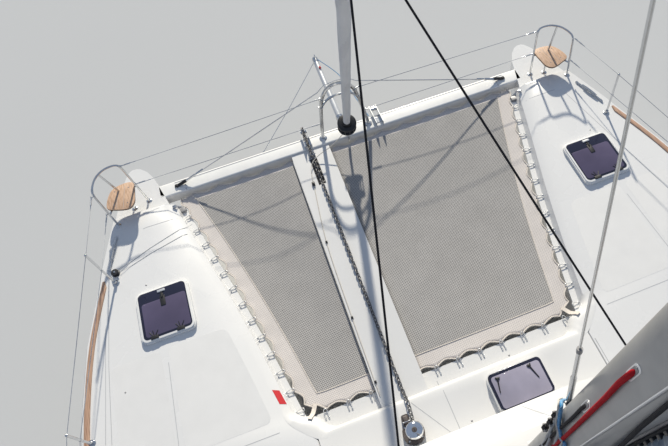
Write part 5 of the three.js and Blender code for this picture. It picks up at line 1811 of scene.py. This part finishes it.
# Cockpit, stern steps and after deck
STEP_TREADS = [(-7.58, -7.27, 1.35, 1.23), (-7.93, -7.62, 1.25, 0.90), (-8.38, -7.97, 1.10, 0.56)]
HANDLE_X, HANDLE_Y = -4.268, 0.34
DOOR_FACE_X = -4.228
WHEEL_X, WHEEL_Y, WHEEL_Z, WHEEL_R = -4.62, -1.05, 1.80, 0.330
LEVER_KNOB = [(0.001, 0), (0.014, 0.004), (0.016, 0.016), (0.010, 0.026), (0.001, 0.027)]


def make_cockpit():
    floor = Form()
    floor.slab(round_rect(-5.62, -0.30, 2.30, 2.02, 0.06, 5), 0.9495, 0.956, 0, 0.002)
    for sign in (1, -1):
        for x0, x1, wide, z in STEP_TREADS:
            outline = round_rect((x0 + x1) / 2, sign * 2.74, x1 - x0, wide, 0.05, 5)
            floor.slab(outline, z - 0.001, z + 0.006, 0, 0.002)
    piece("teak_floor", floor, "planks")
    handle = Form().tube([(HANDLE_X, HANDLE_Y, z) for z in (1.75, 2.15)], 0.011, 0, 12)
    for z in (1.80, 2.10):
        handle.tube([(x, HANDLE_Y, z) for x in (HANDLE_X, DOOR_FACE_X)], 0.008, 0, 10)
    piece("door_handle", handle, "steel", "door")
    rim = [(WHEEL_X, WHEEL_Y + WHEEL_R * c, WHEEL_Z + WHEEL_R * s) for c, s in circle(48)]
    helm = Form().tube(rim, 0.0175, 0, 10, closed=True)
    hub = [(0.001, 0.0), (0.040, 0.0), (0.046, -0.012), (0.001, -0.02)]
    helm.lathe(hub, (WHEEL_X - 0.025, WHEEL_Y, WHEEL_Z), (1, 0, 0), 1, 24)
    piece("wheel_rim", helm, ["rubber", "steel"], "wheel")
    console = Form()
    tilt = Matrix.Rotation(math.radians(-63), 3, "Y")
    for y in (-1.20, -1.04, -0.88):
        console.block((-4.452, y, 1.955), (0.11, 0.13, 0.012), 0, 0.003, tilt)
        console.block((-4.4575, y, 1.958), (0.085, 0.10, 0.012), 1, 0.002, tilt)
    for y in (-1.18, -1.12):
        console.tube([(-4.40, y, 2.05), (-4.43, y, 2.15)], 0.007, 2)
        console.lathe(LEVER_KNOB, (-4.43, y, 2.14), sides=14)
    piece("helm_fittings", console, ["black_plastic", "glass", "steel"])
    aft = Form()
    forward = Vector((1, 0, 0))
    for sign in (1, -1):
        aft.cleat(deck_point(-6.95, 3.45 * sign, 0.04), forward, 0.13, 0.05, 0.006, 0.013, 0.04, 0.045, 0)
        aft.cleat(deck_point(-0.30, 3.40 * sign, 0.04), forward, 0.11, 0.04, 0.005, 0.012, 0.035, 0.045, 0)
        aft.block((-7.165, 3.35 * sign, 2.235), (0.05, 0.05, 0.05), 1, 0.010)
        for x, y in ((-6.46, 3.61), (-7.17, 3.35), (-0.70, 3.60)):
            aft.lathe(FOOT_PLATE, deck_point(x, y * sign), sides=18)
    piece("deck_cleats", aft, ["steel", "black_plastic"])


make_cockpit()
make_floor()
